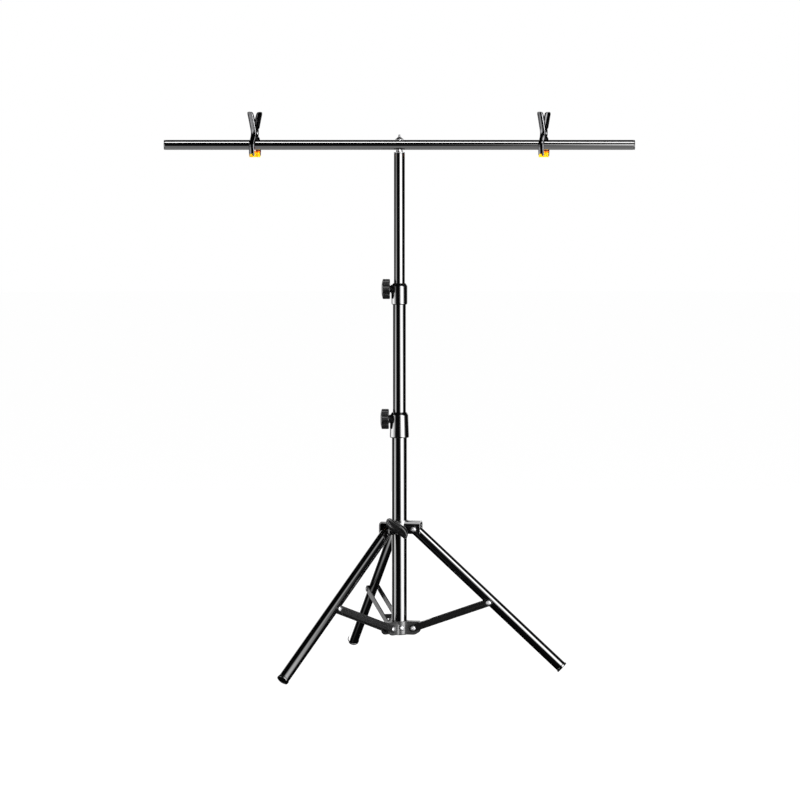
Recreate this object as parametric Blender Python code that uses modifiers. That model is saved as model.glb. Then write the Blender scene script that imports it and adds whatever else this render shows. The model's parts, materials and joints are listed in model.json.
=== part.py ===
# Backdrop stand: telescopic column, folding tripod, crossbar on a top stud, two spring clamps.
# Units are metres, +Z is up and the feet stand on z = 0. The crossbar lies along X.

import math

import bmesh
import bpy
from mathutils import Vector

# Fits and facets
CLEAR = 0.0003
CUT_MARGIN = 0.002
MERGE_DISTANCE = 0.00001
TUBE_STEPS = 24
ROUND_STEPS = 20
RIVET_STEPS = 12
CORNER_STEPS = 4

# Column tubes: outer radius, wall and length of each section
TUBE_WALL = 0.0008
LOWER_TUBE_R = 0.011
LOWER_TUBE_LENGTH = 0.302
MIDDLE_TUBE_R = 0.0095
MIDDLE_TUBE_LENGTH = 0.290
MIDDLE_DRAWN_OUT = 0.1875
TOP_TUBE_R = 0.008
TOP_TUBE_LENGTH = 0.285
TOP_DRAWN_OUT = 0.1985

# Guide bushes in the lower ends of the two sliding tubes
BUSH_SPIGOT_LENGTH = 0.012
BUSH_RIM_LENGTH = 0.004
BUSH_WALL = 0.0012

# Lock collars: grip is how far each one reaches down over its tube
LOWER_COLLAR_HEIGHT = 0.0367
LOWER_COLLAR_GRIP = 0.020
LOWER_COLLAR_TOP_R = 0.01295
LOWER_COLLAR_BOTTOM_R = 0.01415
LOWER_LOCK_RISE = 0.0067
UPPER_COLLAR_HEIGHT = 0.0305
UPPER_COLLAR_GRIP = 0.017
UPPER_COLLAR_R = 0.01165
UPPER_LOCK_RISE = 0.0051
COLLAR_CHAMFER = 0.0016

# Star knobs of the lock collars
LOCK_SCREW_R = 0.003
KNOB_R = 0.0154
KNOB_THICKNESS = 0.0125
KNOB_LOBES = 6
KNOB_LOBE_DEPTH = 0.0030
KNOB_POINTS_PER_LOBE = 8
KNOB_DOME = 0.0022
KNOB_DOME_MIDDLE_R = 0.0085
KNOB_DOME_MIDDLE_DROP = 0.00055
KNOB_ROUND = 0.0016
KNOB_NECK_R = 0.0049
KNOB_NECK_LENGTH = 0.0014
KNOB_SCREW_DEPTH = 0.009

# Tripod: azimuths of the three legs, seen from above, from +X towards +Y
RIGHT_LEG_AZIMUTH = math.radians(-13.0)
LEG_NAMES = ("right", "back", "left")
LEG_SPACING = math.tau / len(LEG_NAMES)
LEG_ANGLE = math.radians(48.0)
LEG_R = 0.008
LEG_LENGTH = 0.2893
LEG_TOP_REACH = 0.004
LEG_PIVOT_RADIUS = 0.023
LEG_RIVET_R = 0.0025

# Foot caps: flange over the tube's end and spigot inside it
FOOT_FLANGE_R = 0.0087
FOOT_FLANGE_LENGTH = 0.003
FOOT_SPIGOT_LENGTH = 0.012
FOOT_ROUND = 0.0006

# Leg collar that slides on the lower tube: heights are measured from the leg pivots
COLLAR_SLEEVE_R = 0.0134
COLLAR_TOP = 0.012
COLLAR_BOTTOM = 0.0067
COLLAR_TOP_WALL = 0.0024
COLLAR_EAR_WALL = 0.0022
COLLAR_ARM_REACH = 0.032
COLLAR_EDGE_ROUND = 0.004
COLLAR_SLEEVE_PROUD = 0.0003
COLLAR_BOSS_R = 0.0055
COLLAR_BOSS_REACH = 0.019
COLLAR_LOCK_RISE = 0.004
COLLAR_LOCK_AZIMUTH = math.radians(-95.0)

# Wing knob of the leg collar: distances are from the column's axis
WING_SCREW_R = 0.0025
WING_BARREL_START = 0.029
WING_BARREL_R = 0.006
WING_BARREL_LENGTH = 0.012
WING_START = 0.034
WING_DEPTH = 0.010
WING_LENGTH = 0.039
WING_WAIST = 0.0044
WING_END_R = 0.0029
WING_END_LEAN = math.radians(80.0)
WING_END_STEPS = 6
WING_TILT = math.radians(45.0)
WING_SCREW_DEPTH = 0.008

# Hub at the foot of the lower tube
COLLAR_TO_HUB = 0.1425
HUB_PIVOT_RADIUS = 0.0225
HUB_HEIGHT = 0.019
HUB_REACH = 0.031
HUB_ARM_HALF_WIDTH = 0.008
HUB_EAR_WALL = 0.0017
HUB_TOP_WALL = 0.0016
HUB_RING_WALL = 0.0022
HUB_FILLET_R = 0.0205
HUB_FILLET_STEPS = 8
HUB_CORNER_R = 0.008
HUB_RIVET_R = 0.002
HUB_SCREW_AZIMUTH = RIGHT_LEG_AZIMUTH - LEG_SPACING / 2
HUB_SCREW_R = 0.0015
HUB_SCREW_HEAD_R = 0.0034
HUB_SCREW_HEAD = 0.0018
HUB_SCREW_RECESS_R = 0.0014
HUB_SCREW_LENGTH = 0.008
TUBE_ABOVE_HUB_FOOT = 0.0005

# Plug in the lower end of the lower tube
BOTTOM_PLUG_LENGTH = 0.014
BOTTOM_PLUG_RIM = 0.0012
BOTTOM_PLUG_HOLLOW_R = 0.0045
BOTTOM_PLUG_HOLLOW_DEPTH = 0.009

# Struts between hub and legs
STRUT_PIVOT_ALONG_LEG = 0.150
STRUT_PIVOT_DROP = 0.003
STRUT_RAIL_WALL = 0.0015
STRUT_HALF_HEIGHT = 0.005
STRUT_END_STEPS = 8
STRUT_WEB_START = 0.014
STRUT_WEB_LENGTH = 0.012

# Rivet heads
RIVET_HEAD_R = 0.0035
RIVET_HEAD = 0.0012
RIVET_HEAD_ROUND = 0.0006

# Crossbar
BAR_R = 0.00715
BAR_WALL = 0.0008
BAR_LENGTH = 0.670
BAR_PLUG_FLANGE = 0.0014
BAR_PLUG_SPIGOT = 0.012

# Plug, stud and nut that carry the crossbar
TOP_PLUG_LENGTH = 0.020
TOP_PLUG_FLANGE = 0.0010
STUD_R = 0.003
STUD_COLLAR_R = 0.0049
STUD_COLLAR_HEIGHT = 0.0026
STUD_DEPTH = 0.012
STUD_TIP_R = 0.0015
STUD_TIP_FLAT_R = 0.00105
STUD_TIP_CHAMFER = 0.0006
STUD_TIP_LENGTH = 0.0044
NUT_R = 0.006
NUT_HEIGHT = 0.0036
NUT_FLANGE = 0.0007
NUT_SHOULDER_R = 0.00445
NUT_SHOULDER_RISE = 0.0024
NUT_CROWN_R = 0.0029
NUT_CROWN_WALL = 0.0009

# Spring clamps: u is across the bar, z is up from the bar's axis, w is along the clamp's pin.
# The handle's side view is given as shares of its spread and of its rise, from tip to pin.
HANDLE_POINTS = ((1.0, 1.0), (0.66, 0.70), (0.30, 0.36), (0.04, 0.10))
CLAMP_SIDES = (("left", -1.0), ("right", 1.0))
CLAMP_OFFSET = 0.2055
CLAMP_YAW = math.radians(25.0)
CLAMP_HALF_WIDTH = 0.0042
CLAMP_WALL = 0.0009
CLAMP_PIN_RISE = 0.017
CLAMP_PIN_R = 0.00125
CLAMP_PIN_HEAD_R = 0.0022
CLAMP_PIN_HEAD = 0.0008
CLAMP_EAR_R = 0.0042
CLAMP_TIP_WALL = 0.0018
CLAMP_WAIST_REACH = 0.0062
CLAMP_WAIST_DROP = 0.0025
CLAMP_HANDLE_SPREAD = 0.0180
CLAMP_HANDLE_RISE = 0.0465
CLAMP_JAW_ENTRY_REACH = 0.0025
CLAMP_JAW_ENTRY_RISE = 0.0085
CLAMP_JAW_BULGE = 0.0066
CLAMP_JAW_UPPER_RISE = 0.0029
CLAMP_JAW_UPPER_SETBACK = 0.0006
CLAMP_JAW_MIDDLE_DROP = 0.0020
CLAMP_JAW_LOWER_DROP = 0.0080
CLAMP_JAW_LOWER_SETBACK = 0.0004
CLAMP_JAW_DROP = 0.0156
CLAMP_JAW_END_SETBACK = 0.0012
CLAMP_FLANGE_TIP = 0.0030
CLAMP_FLANGE_HANDLE = 0.0046
CLAMP_FLANGE_JAW = 0.0024
CLAMP_FLANGE_JAW_END = 0.0031
CLAMP_CURVE_STEPS = 2
PAD_THICKNESS = 0.0060
PAD_TOP = 0.0086
PAD_LIP = 0.0016

# Torsion springs of the clamps
SPRING_WIRE_R = 0.00035
SPRING_PITCH = 0.00115
SPRING_TURNS = 2.5
SPRING_POINTS_PER_TURN = 10
SPRING_LEG_RISE = 0.013
SPRING_LEG_POINTS = 3
SPRING_PIN_GAP = 0.0004
SPRING_LEAST_GAP = 0.0004

# Heights and places that follow from the sizes above
LEG_PIVOT_Z = LEG_LENGTH * math.cos(LEG_ANGLE) + FOOT_FLANGE_R * math.sin(LEG_ANGLE)
HUB_PIVOT_Z = LEG_PIVOT_Z - COLLAR_TO_HUB
HUB_BOTTOM_Z = HUB_PIVOT_Z - HUB_HEIGHT / 2
HUB_TOP_Z = HUB_PIVOT_Z + HUB_HEIGHT / 2
LOWER_TUBE_Z = HUB_BOTTOM_Z + TUBE_ABOVE_HUB_FOOT
LOWER_TUBE_TOP = LOWER_TUBE_Z + LOWER_TUBE_LENGTH
LOWER_COLLAR_Z = LOWER_TUBE_TOP - LOWER_COLLAR_GRIP
MIDDLE_TUBE_TOP = LOWER_TUBE_TOP + MIDDLE_DRAWN_OUT
UPPER_COLLAR_Z = MIDDLE_TUBE_TOP - UPPER_COLLAR_GRIP
TOP_TUBE_TOP = MIDDLE_TUBE_TOP + TOP_DRAWN_OUT
STUD_SEAT_Z = TOP_TUBE_TOP + CLEAR + TOP_PLUG_FLANGE + CLEAR
BAR_Z = STUD_SEAT_Z + STUD_COLLAR_HEIGHT + CLEAR + BAR_R
LEG_RADIUS_AT_FOOT = LEG_PIVOT_RADIUS + LEG_LENGTH * math.sin(LEG_ANGLE)
COLLAR_GAP_HALF = LEG_R + CLEAR
COLLAR_ARM_HALF = COLLAR_GAP_HALF + COLLAR_EAR_WALL
RAIL_INNER = max(LEG_R, HUB_ARM_HALF_WIDTH) + CLEAR
RAIL_OUTER = RAIL_INNER + STRUT_RAIL_WALL
HUB_RING_R = LOWER_TUBE_R + CLEAR + HUB_RING_WALL


def strut_vector():
    """Strut from its hub pivot to its leg pivot, as radial distance and height."""
    along = STRUT_PIVOT_ALONG_LEG
    drop = STRUT_PIVOT_DROP
    leg_r = LEG_PIVOT_RADIUS + along * math.sin(LEG_ANGLE) - drop * math.cos(LEG_ANGLE)
    leg_z = LEG_PIVOT_Z - along * math.cos(LEG_ANGLE) - drop * math.sin(LEG_ANGLE)
    return Vector((leg_r - HUB_PIVOT_RADIUS, leg_z - HUB_PIVOT_Z))


STRUT_LENGTH = strut_vector().length
STRUT_ANGLE = math.atan2(strut_vector().y, strut_vector().x)


def column_y():
    """Y of the column for which the three feet reach as far forward as back."""
    front = []
    back = []
    for index in range(len(LEG_NAMES)):
        azimuth = RIGHT_LEG_AZIMUTH + index * LEG_SPACING
        slope = math.sin(LEG_ANGLE) * math.sin(azimuth)
        centre = LEG_RADIUS_AT_FOOT * math.sin(azimuth)
        reach = FOOT_FLANGE_R * math.sqrt(1 - slope * slope)
        front.append(centre - reach)
        back.append(centre + reach)
    return -(min(front) + max(back)) / 2


# Scene, collections and materials
for old in list(bpy.data.objects):
    bpy.data.objects.remove(old, do_unlink=True)

PARTS = bpy.data.collections.new("backdrop_stand")
CUTTERS = bpy.data.collections.new("cutters")
bpy.context.scene.collection.children.link(PARTS)
bpy.context.scene.collection.children.link(CUTTERS)


def make_material(name, colour, roughness, metallic):
    material = bpy.data.materials.new(name)
    material.use_nodes = True
    shader = material.node_tree.nodes["Principled BSDF"]
    shader.inputs["Base Color"].default_value = (*colour, 1.0)
    shader.inputs["Roughness"].default_value = roughness
    shader.inputs["Metallic"].default_value = metallic
    return material


BLACK_PAINT = make_material("black_gloss_paint", (0.012, 0.012, 0.013), 0.18, 0.3)
BLACK_PLASTIC = make_material("black_gloss_plastic", (0.014, 0.014, 0.015), 0.25, 0.0)
KNOB_PLASTIC = make_material("dark_satin_plastic", (0.05, 0.05, 0.052), 0.5, 0.0)
STRUT_PAINT = make_material("dark_satin_paint", (0.09, 0.09, 0.09), 0.42, 0.4)
BARE_STEEL = make_material("bright_steel", (0.62, 0.62, 0.64), 0.28, 1.0)
INNER_PLASTIC = make_material("grey_inner_plastic", (0.12, 0.12, 0.12), 0.6, 0.0)
CLAMP_STEEL = make_material("clamp_black_nickel", (0.06, 0.06, 0.065), 0.22, 0.8)
SPRING_STEEL = make_material("spring_steel", (0.5, 0.5, 0.52), 0.3, 1.0)
PAD_ORANGE = make_material("amber_soft_plastic", (0.95, 0.42, 0.02), 0.45, 0.0)


# Tools that several sub-parts share
def add_object(name, data, parent, location=(0, 0, 0), rotation=(0, 0, 0), collection=PARTS):
    item = bpy.data.objects.new(name, data)
    collection.objects.link(item)
    item.parent = parent
    item.location = location
    item.rotation_euler = rotation
    return item


def joint_frame(name, parent, location=(0, 0, 0), rotation=(0, 0, 0)):
    """Empty on a joint's axis, which carries the pieces of one moving body."""
    return add_object(name, None, parent, location, rotation)


def as_cutter(item):
    item.hide_render = True
    item.display_type = "WIRE"
    for owner in list(item.users_collection):
        owner.objects.unlink(item)
    CUTTERS.objects.link(item)
    return item


def turned(name, profile, parent, material, ring=False, steps=ROUND_STEPS, **place):
    """Profile of (radius, height) points turned about Z, running down its outer side."""
    mesh = bpy.data.meshes.new(name)
    count = len(profile)
    edges = [(index, index + 1) for index in range(count - 1)]
    if ring:
        edges.append((count - 1, 0))
    mesh.from_pydata([(radius, 0, height) for radius, height in profile], edges, [])
    mesh.materials.append(material)
    item = add_object(name, mesh, parent, **place)
    screw = item.modifiers.new("turn", "SCREW")
    screw.axis = "Z"
    screw.steps = steps
    screw.render_steps = steps
    screw.use_merge_vertices = True
    screw.merge_threshold = MERGE_DISTANCE
    screw.use_smooth_shade = True
    return item


def pipe_profile(outer, wall, low, high):
    """Closed profile of a plain tube."""
    inner = outer - wall
    return [(outer, high), (outer, low), (inner, low), (inner, high)]


def extruded(name, outline, half_thickness, parent, material, **place):
    """Flat outline in its own XY plane, as thick as twice half_thickness along its Z."""
    curve = bpy.data.curves.new(name, "CURVE")
    curve.dimensions = "2D"
    curve.fill_mode = "BOTH"
    curve.extrude = half_thickness
    spline = curve.splines.new("POLY")
    spline.points.add(len(outline) - 1)
    for point, (x, y) in zip(spline.points, outline):
        point.co = (x, y, 0, 1)
    spline.use_cyclic_u = True
    curve.materials.append(material)
    return as_mesh(add_object(name, curve, parent, **place))


def wire(name, points, radius, parent, material, **place):
    """Round wire through the points, with closed ends."""
    curve = bpy.data.curves.new(name, "CURVE")
    curve.dimensions = "3D"
    curve.bevel_depth = radius
    curve.bevel_resolution = 1
    curve.use_fill_caps = True
    spline = curve.splines.new("POLY")
    spline.points.add(len(points) - 1)
    for point, place_on_path in zip(spline.points, points):
        point.co = (*place_on_path, 1)
    curve.materials.append(material)
    return add_object(name, curve, parent, **place)


def as_mesh(item):
    """The same shape as a mesh object, with its caps welded on."""
    bpy.context.view_layer.update()
    shape = item.evaluated_get(bpy.context.evaluated_depsgraph_get())
    mesh = bpy.data.meshes.new_from_object(shape)
    build = bmesh.new()
    build.from_mesh(mesh)
    bmesh.ops.remove_doubles(build, verts=build.verts, dist=MERGE_DISTANCE)
    bmesh.ops.recalc_face_normals(build, faces=build.faces)
    build.to_mesh(mesh)
    build.free()
    name = item.name
    parent = item.parent
    location = item.location.copy()
    rotation = item.rotation_euler.copy()
    bpy.data.objects.remove(item, do_unlink=True)
    return add_object(name, mesh, parent, location, rotation)


def rod(name, radius, length, parent, steps=RIVET_STEPS, **place):
    """Cylinder about its own Z, centred, as a cutter or a shape to join."""
    mesh = bpy.data.meshes.new(name)
    build = bmesh.new()
    bmesh.ops.create_cone(
        build, cap_ends=True, segments=steps, radius1=radius, radius2=radius, depth=length
    )
    build.to_mesh(mesh)
    build.free()
    return as_cutter(add_object(name, mesh, parent, **place))


def box(name, size, parent, **place):
    """Box of the given size, centred, as a cutter."""
    mesh = bpy.data.meshes.new(name)
    build = bmesh.new()
    bmesh.ops.create_cube(build, size=1.0)
    bmesh.ops.scale(build, vec=Vector(size), verts=build.verts)
    build.to_mesh(mesh)
    build.free()
    return as_cutter(add_object(name, mesh, parent, **place))


def combine(target, tool, operation):
    step = target.modifiers.new(tool.name, "BOOLEAN")
    step.operation = operation
    step.solver = "EXACT"
    step.object = tool
    if tool.name not in CUTTERS.objects:
        as_cutter(tool)


def cut(target, tool):
    combine(target, tool, "DIFFERENCE")


def join(target, tool):
    combine(target, tool, "UNION")


def keep_inside(target, tool):
    combine(target, tool, "INTERSECT")


def arc(centre, radius, start, end, steps):
    """Points of a circle's arc in a plane, both ends included."""
    points = []
    for index in range(steps + 1):
        angle = start + (end - start) * index / steps
        points.append((centre[0] + radius * math.cos(angle), centre[1] + radius * math.sin(angle)))
    return points


ALONG_X = (0, math.pi / 2, 0)
ALONG_Y = (math.pi / 2, 0, 0)
PROFILE_IN_XZ = (math.pi / 2, 0, 0)
PROFILE_IN_YZ = (math.pi / 2, 0, math.pi / 2)


def headed_pin(name, shank_r, head_r, inner, parent, material, head=RIVET_HEAD, **place):
    """Rivet along its own Z with a domed head past +inner and -inner."""
    seat = inner + CLEAR
    top = seat + head
    edge = min(RIVET_HEAD_ROUND, head / 2)
    profile = [(0, top), (head_r - edge, top), (head_r, top - edge), (head_r, seat), (shank_r, seat)]
    profile += [(radius, -height) for radius, height in reversed(profile)]
    return turned(name, profile, parent, material, steps=RIVET_STEPS, **place)


# Telescopic column
def column_tubes(column, middle, top):
    sections = (
        ("lower_tube", LOWER_TUBE_R, LOWER_TUBE_Z, LOWER_TUBE_TOP, column),
        ("middle_tube", MIDDLE_TUBE_R, MIDDLE_TUBE_TOP - MIDDLE_TUBE_LENGTH, MIDDLE_TUBE_TOP, middle),
        ("top_tube", TOP_TUBE_R, TOP_TUBE_TOP - TOP_TUBE_LENGTH, TOP_TUBE_TOP, top),
    )
    tubes = []
    for name, radius, low, high, parent in sections:
        profile = pipe_profile(radius, TUBE_WALL, low, high)
        tubes.append(turned(name, profile, parent, BLACK_PAINT, ring=True, steps=TUBE_STEPS))
    return tubes


def guide_bush(name, tube_r, tube_low, outer_tube_r, parent):
    """Sleeve pressed into a tube's lower end, whose rim runs in the next tube."""
    spigot_r = tube_r - TUBE_WALL - CLEAR
    rim_r = outer_tube_r - TUBE_WALL - CLEAR
    bore = spigot_r - BUSH_WALL
    seat = tube_low - CLEAR
    profile = [
        (spigot_r, tube_low + BUSH_SPIGOT_LENGTH),
        (spigot_r, seat),
        (rim_r, seat),
        (rim_r, seat - BUSH_RIM_LENGTH),
        (bore, seat - BUSH_RIM_LENGTH),
        (bore, tube_low + BUSH_SPIGOT_LENGTH),
    ]
    return turned(name, profile, parent, INNER_PLASTIC, ring=True)


def lock_collar(name, low, height, bottom_r, top_r, tube_r, tube_top, inner_tube_r, lock_z, parent):
    """Collar over a tube's upper end, bored for the next tube, with its lock screw's hole."""
    high = low + height
    wide = tube_r + CLEAR
    narrow = inner_tube_r + CLEAR
    step = tube_top + CLEAR
    profile = [
        (top_r - COLLAR_CHAMFER, high),
        (top_r, high - COLLAR_CHAMFER),
        (bottom_r, low + COLLAR_CHAMFER),
        (bottom_r - COLLAR_CHAMFER, low),
        (wide, low),
        (wide, step),
        (narrow, step),
        (narrow, high),
    ]
    collar = turned(name, profile, parent, BLACK_PLASTIC, ring=True, steps=TUBE_STEPS)
    hole = rod(
        name + "_screw_hole", LOCK_SCREW_R + CLEAR, bottom_r, parent,
        location=(-(narrow + bottom_r / 2 - CUT_MARGIN), 0, lock_z), rotation=ALONG_X,
    )
    cut(collar, hole)
    return collar


def star_outline():
    """Six wide lobes with narrow valleys between them, one lobe along +X."""
    count = KNOB_LOBES * KNOB_POINTS_PER_LOBE
    points = []
    for index in range(count):
        angle = math.tau * index / count
        dip = 1 - abs(math.cos(angle * KNOB_LOBES / 2))
        radius = KNOB_R - KNOB_LOBE_DEPTH * dip
        points.append((radius * math.cos(angle), radius * math.sin(angle)))
    return points


def star_knob(name, collar_r, inner_tube_r, frame):
    """Knob and screw about the frame's Z, which points away from the column's axis."""
    neck = collar_r + CLEAR
    face = neck + KNOB_NECK_LENGTH
    crown = face + KNOB_THICKNESS
    shoulder = crown - KNOB_DOME
    knob = extruded(
        name, star_outline(), KNOB_THICKNESS / 2, frame, KNOB_PLASTIC,
        location=(0, 0, face + KNOB_THICKNESS / 2), rotation=(0, 0, math.pi / 2),
    )
    envelope = turned(
        name + "_crown",
        [
            (0, crown),
            (KNOB_DOME_MIDDLE_R, crown - KNOB_DOME_MIDDLE_DROP),
            (KNOB_R - KNOB_ROUND, shoulder),
            (KNOB_R + CUT_MARGIN / 4, shoulder - KNOB_ROUND),
            (KNOB_R + CUT_MARGIN / 4, face + KNOB_ROUND / 2),
            (KNOB_R - KNOB_ROUND / 2, face - CUT_MARGIN / 10),
            (0, face - CUT_MARGIN / 10),
        ],
        frame, KNOB_PLASTIC, steps=KNOB_LOBES * KNOB_POINTS_PER_LOBE // 2,
    )
    keep_inside(knob, envelope)
    neck_length = KNOB_NECK_LENGTH + CUT_MARGIN
    join(knob, rod(
        name + "_neck", KNOB_NECK_R, neck_length, frame, steps=ROUND_STEPS,
        location=(0, 0, neck + neck_length / 2),
    ))
    blind = face + KNOB_SCREW_DEPTH
    cut(knob, rod(
        name + "_bore", LOCK_SCREW_R + CLEAR, blind - neck + CUT_MARGIN, frame,
        location=(0, 0, (blind + neck - CUT_MARGIN) / 2),
    ))
    tip = inner_tube_r + CLEAR
    end = blind - CLEAR
    profile = [
        (0, end),
        (LOCK_SCREW_R, end),
        (LOCK_SCREW_R, tip + COLLAR_CHAMFER / 2),
        (LOCK_SCREW_R - COLLAR_CHAMFER / 2, tip),
        (0, tip),
    ]
    turned(name + "_screw", profile, frame, BARE_STEEL, steps=RIVET_STEPS)
    return knob


def bottom_plug(column):
    """Plug in the lower tube's foot, hollow from below."""
    radius = LOWER_TUBE_R - TUBE_WALL - CLEAR
    seat = LOWER_TUBE_Z - CLEAR
    low = seat - BOTTOM_PLUG_RIM
    hollow = low + BOTTOM_PLUG_HOLLOW_DEPTH
    profile = [
        (0, LOWER_TUBE_Z + BOTTOM_PLUG_LENGTH),
        (radius, LOWER_TUBE_Z + BOTTOM_PLUG_LENGTH),
        (radius, seat),
        (LOWER_TUBE_R, seat),
        (LOWER_TUBE_R, low),
        (BOTTOM_PLUG_HOLLOW_R, low),
        (BOTTOM_PLUG_HOLLOW_R, hollow),
        (0, hollow),
    ]
    return turned("bottom_plug", profile, column, INNER_PLASTIC, steps=TUBE_STEPS)


# Fixed hub at the foot of the column
def hub_outline():
    """Three arms with concave fillets between them, seen from above."""
    half = HUB_ARM_HALF_WIDTH
    reach = HUB_REACH + CUT_MARGIN
    spread = LEG_SPACING / 2
    away = (half + HUB_FILLET_R) / math.sin(spread)
    points = []
    for index in range(len(LEG_NAMES)):
        azimuth = index * LEG_SPACING
        turn = (math.cos(azimuth), math.sin(azimuth))
        for side in (-half, half):
            points.append((reach * turn[0] - side * turn[1], reach * turn[1] + side * turn[0]))
        middle = azimuth + spread
        centre = (away * math.cos(middle), away * math.sin(middle))
        swing = math.pi / 2 - spread
        points += arc(
            centre, HUB_FILLET_R, middle + math.pi + swing, middle + math.pi - swing, HUB_FILLET_STEPS
        )
    return points


def hub_envelope(column):
    """Turned limit of the hub that rounds the outer ends of its arms."""
    corner = HUB_CORNER_R
    low = HUB_BOTTOM_Z
    high = HUB_TOP_Z
    lower_arc = arc((HUB_REACH - corner, low + corner), corner, 0, -math.pi / 2, CORNER_STEPS)
    profile = [(0, high), (HUB_REACH - HUB_TOP_WALL, high), (HUB_REACH, high - HUB_TOP_WALL)]
    profile += lower_arc
    profile.append((0, low))
    return turned("hub_envelope", profile, column, STRUT_PAINT, steps=2 * TUBE_STEPS)


def make_hub(column, arms):
    body = extruded(
        "hub", hub_outline(), HUB_HEIGHT / 2 + CUT_MARGIN, column, STRUT_PAINT,
        location=(0, 0, HUB_PIVOT_Z), rotation=(0, 0, RIGHT_LEG_AZIMUTH),
    )
    ring = rod(
        "hub_ring", HUB_RING_R, HUB_HEIGHT + CUT_MARGIN, column, steps=TUBE_STEPS,
        location=(0, 0, HUB_PIVOT_Z),
    )
    join(body, ring)
    keep_inside(body, hub_envelope(column))
    bore = rod(
        "hub_bore", LOWER_TUBE_R + CLEAR, HUB_HEIGHT + 2 * CUT_MARGIN, column, steps=TUBE_STEPS,
        location=(0, 0, HUB_PIVOT_Z),
    )
    cut(body, bore)
    pocket_start = HUB_RING_R + CLEAR
    pocket_length = HUB_REACH - pocket_start + CUT_MARGIN
    pocket_height = HUB_HEIGHT - HUB_TOP_WALL + CUT_MARGIN
    for name, arm in arms:
        cut(body, box(
            "hub_pocket_" + name,
            (pocket_length, 2 * (HUB_ARM_HALF_WIDTH - HUB_EAR_WALL), pocket_height), arm,
            location=(pocket_start + pocket_length / 2, 0, HUB_TOP_Z - HUB_TOP_WALL - pocket_height / 2),
        ))
        cut(body, rod(
            "hub_rivet_hole_" + name, HUB_RIVET_R + CLEAR, 4 * HUB_ARM_HALF_WIDTH, arm,
            location=(HUB_PIVOT_RADIUS, 0, HUB_PIVOT_Z), rotation=ALONG_Y,
        ))
        headed_pin(
            "hub_rivet_" + name, HUB_RIVET_R, RIVET_HEAD_R, RAIL_OUTER, arm, BARE_STEEL,
            location=(HUB_PIVOT_RADIUS, 0, HUB_PIVOT_Z), rotation=ALONG_Y,
        )
    return body


def hub_screw(column, hub, tube, plug):
    """Screw that holds the hub, the tube and the plug together, midway between two arms."""
    frame = joint_frame(
        "hub_screw_frame", column, (0, 0, HUB_PIVOT_Z), (0, math.pi / 2, HUB_SCREW_AZIMUTH)
    )
    seat = HUB_RING_R + CLEAR
    top = seat + HUB_SCREW_HEAD
    tip = seat - HUB_SCREW_LENGTH
    profile = [
        (0, top - HUB_SCREW_HEAD / 2),
        (HUB_SCREW_RECESS_R, top - HUB_SCREW_HEAD / 2),
        (HUB_SCREW_RECESS_R, top),
        (HUB_SCREW_HEAD_R - RIVET_HEAD_ROUND, top),
        (HUB_SCREW_HEAD_R, top - RIVET_HEAD_ROUND),
        (HUB_SCREW_HEAD_R, seat),
        (HUB_SCREW_R, seat),
        (HUB_SCREW_R, tip),
        (0, tip),
    ]
    turned("hub_screw", profile, frame, BARE_STEEL, steps=RIVET_STEPS)
    length = HUB_SCREW_LENGTH + HUB_SCREW_HEAD + CLEAR
    for owner in (hub, tube, plug):
        cut(owner, rod(
            owner.name + "_screw_bore", HUB_SCREW_R + CLEAR, length, frame,
            location=(0, 0, tip - CLEAR + length / 2),
        ))


# Leg collar that slides on the lower tube
def arm_section():
    """Cross-section of an arm: flat sides, rounded upper edges, open gap cut later."""
    half = COLLAR_ARM_HALF
    corner = COLLAR_EDGE_ROUND
    centre_z = COLLAR_TOP - corner
    points = [(-half, -COLLAR_BOTTOM), (half, -COLLAR_BOTTOM)]
    points += arc((half - corner, centre_z), corner, 0, math.pi / 2, CORNER_STEPS)
    points += arc((corner - half, centre_z), corner, math.pi / 2, math.pi, CORNER_STEPS)
    return points


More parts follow.
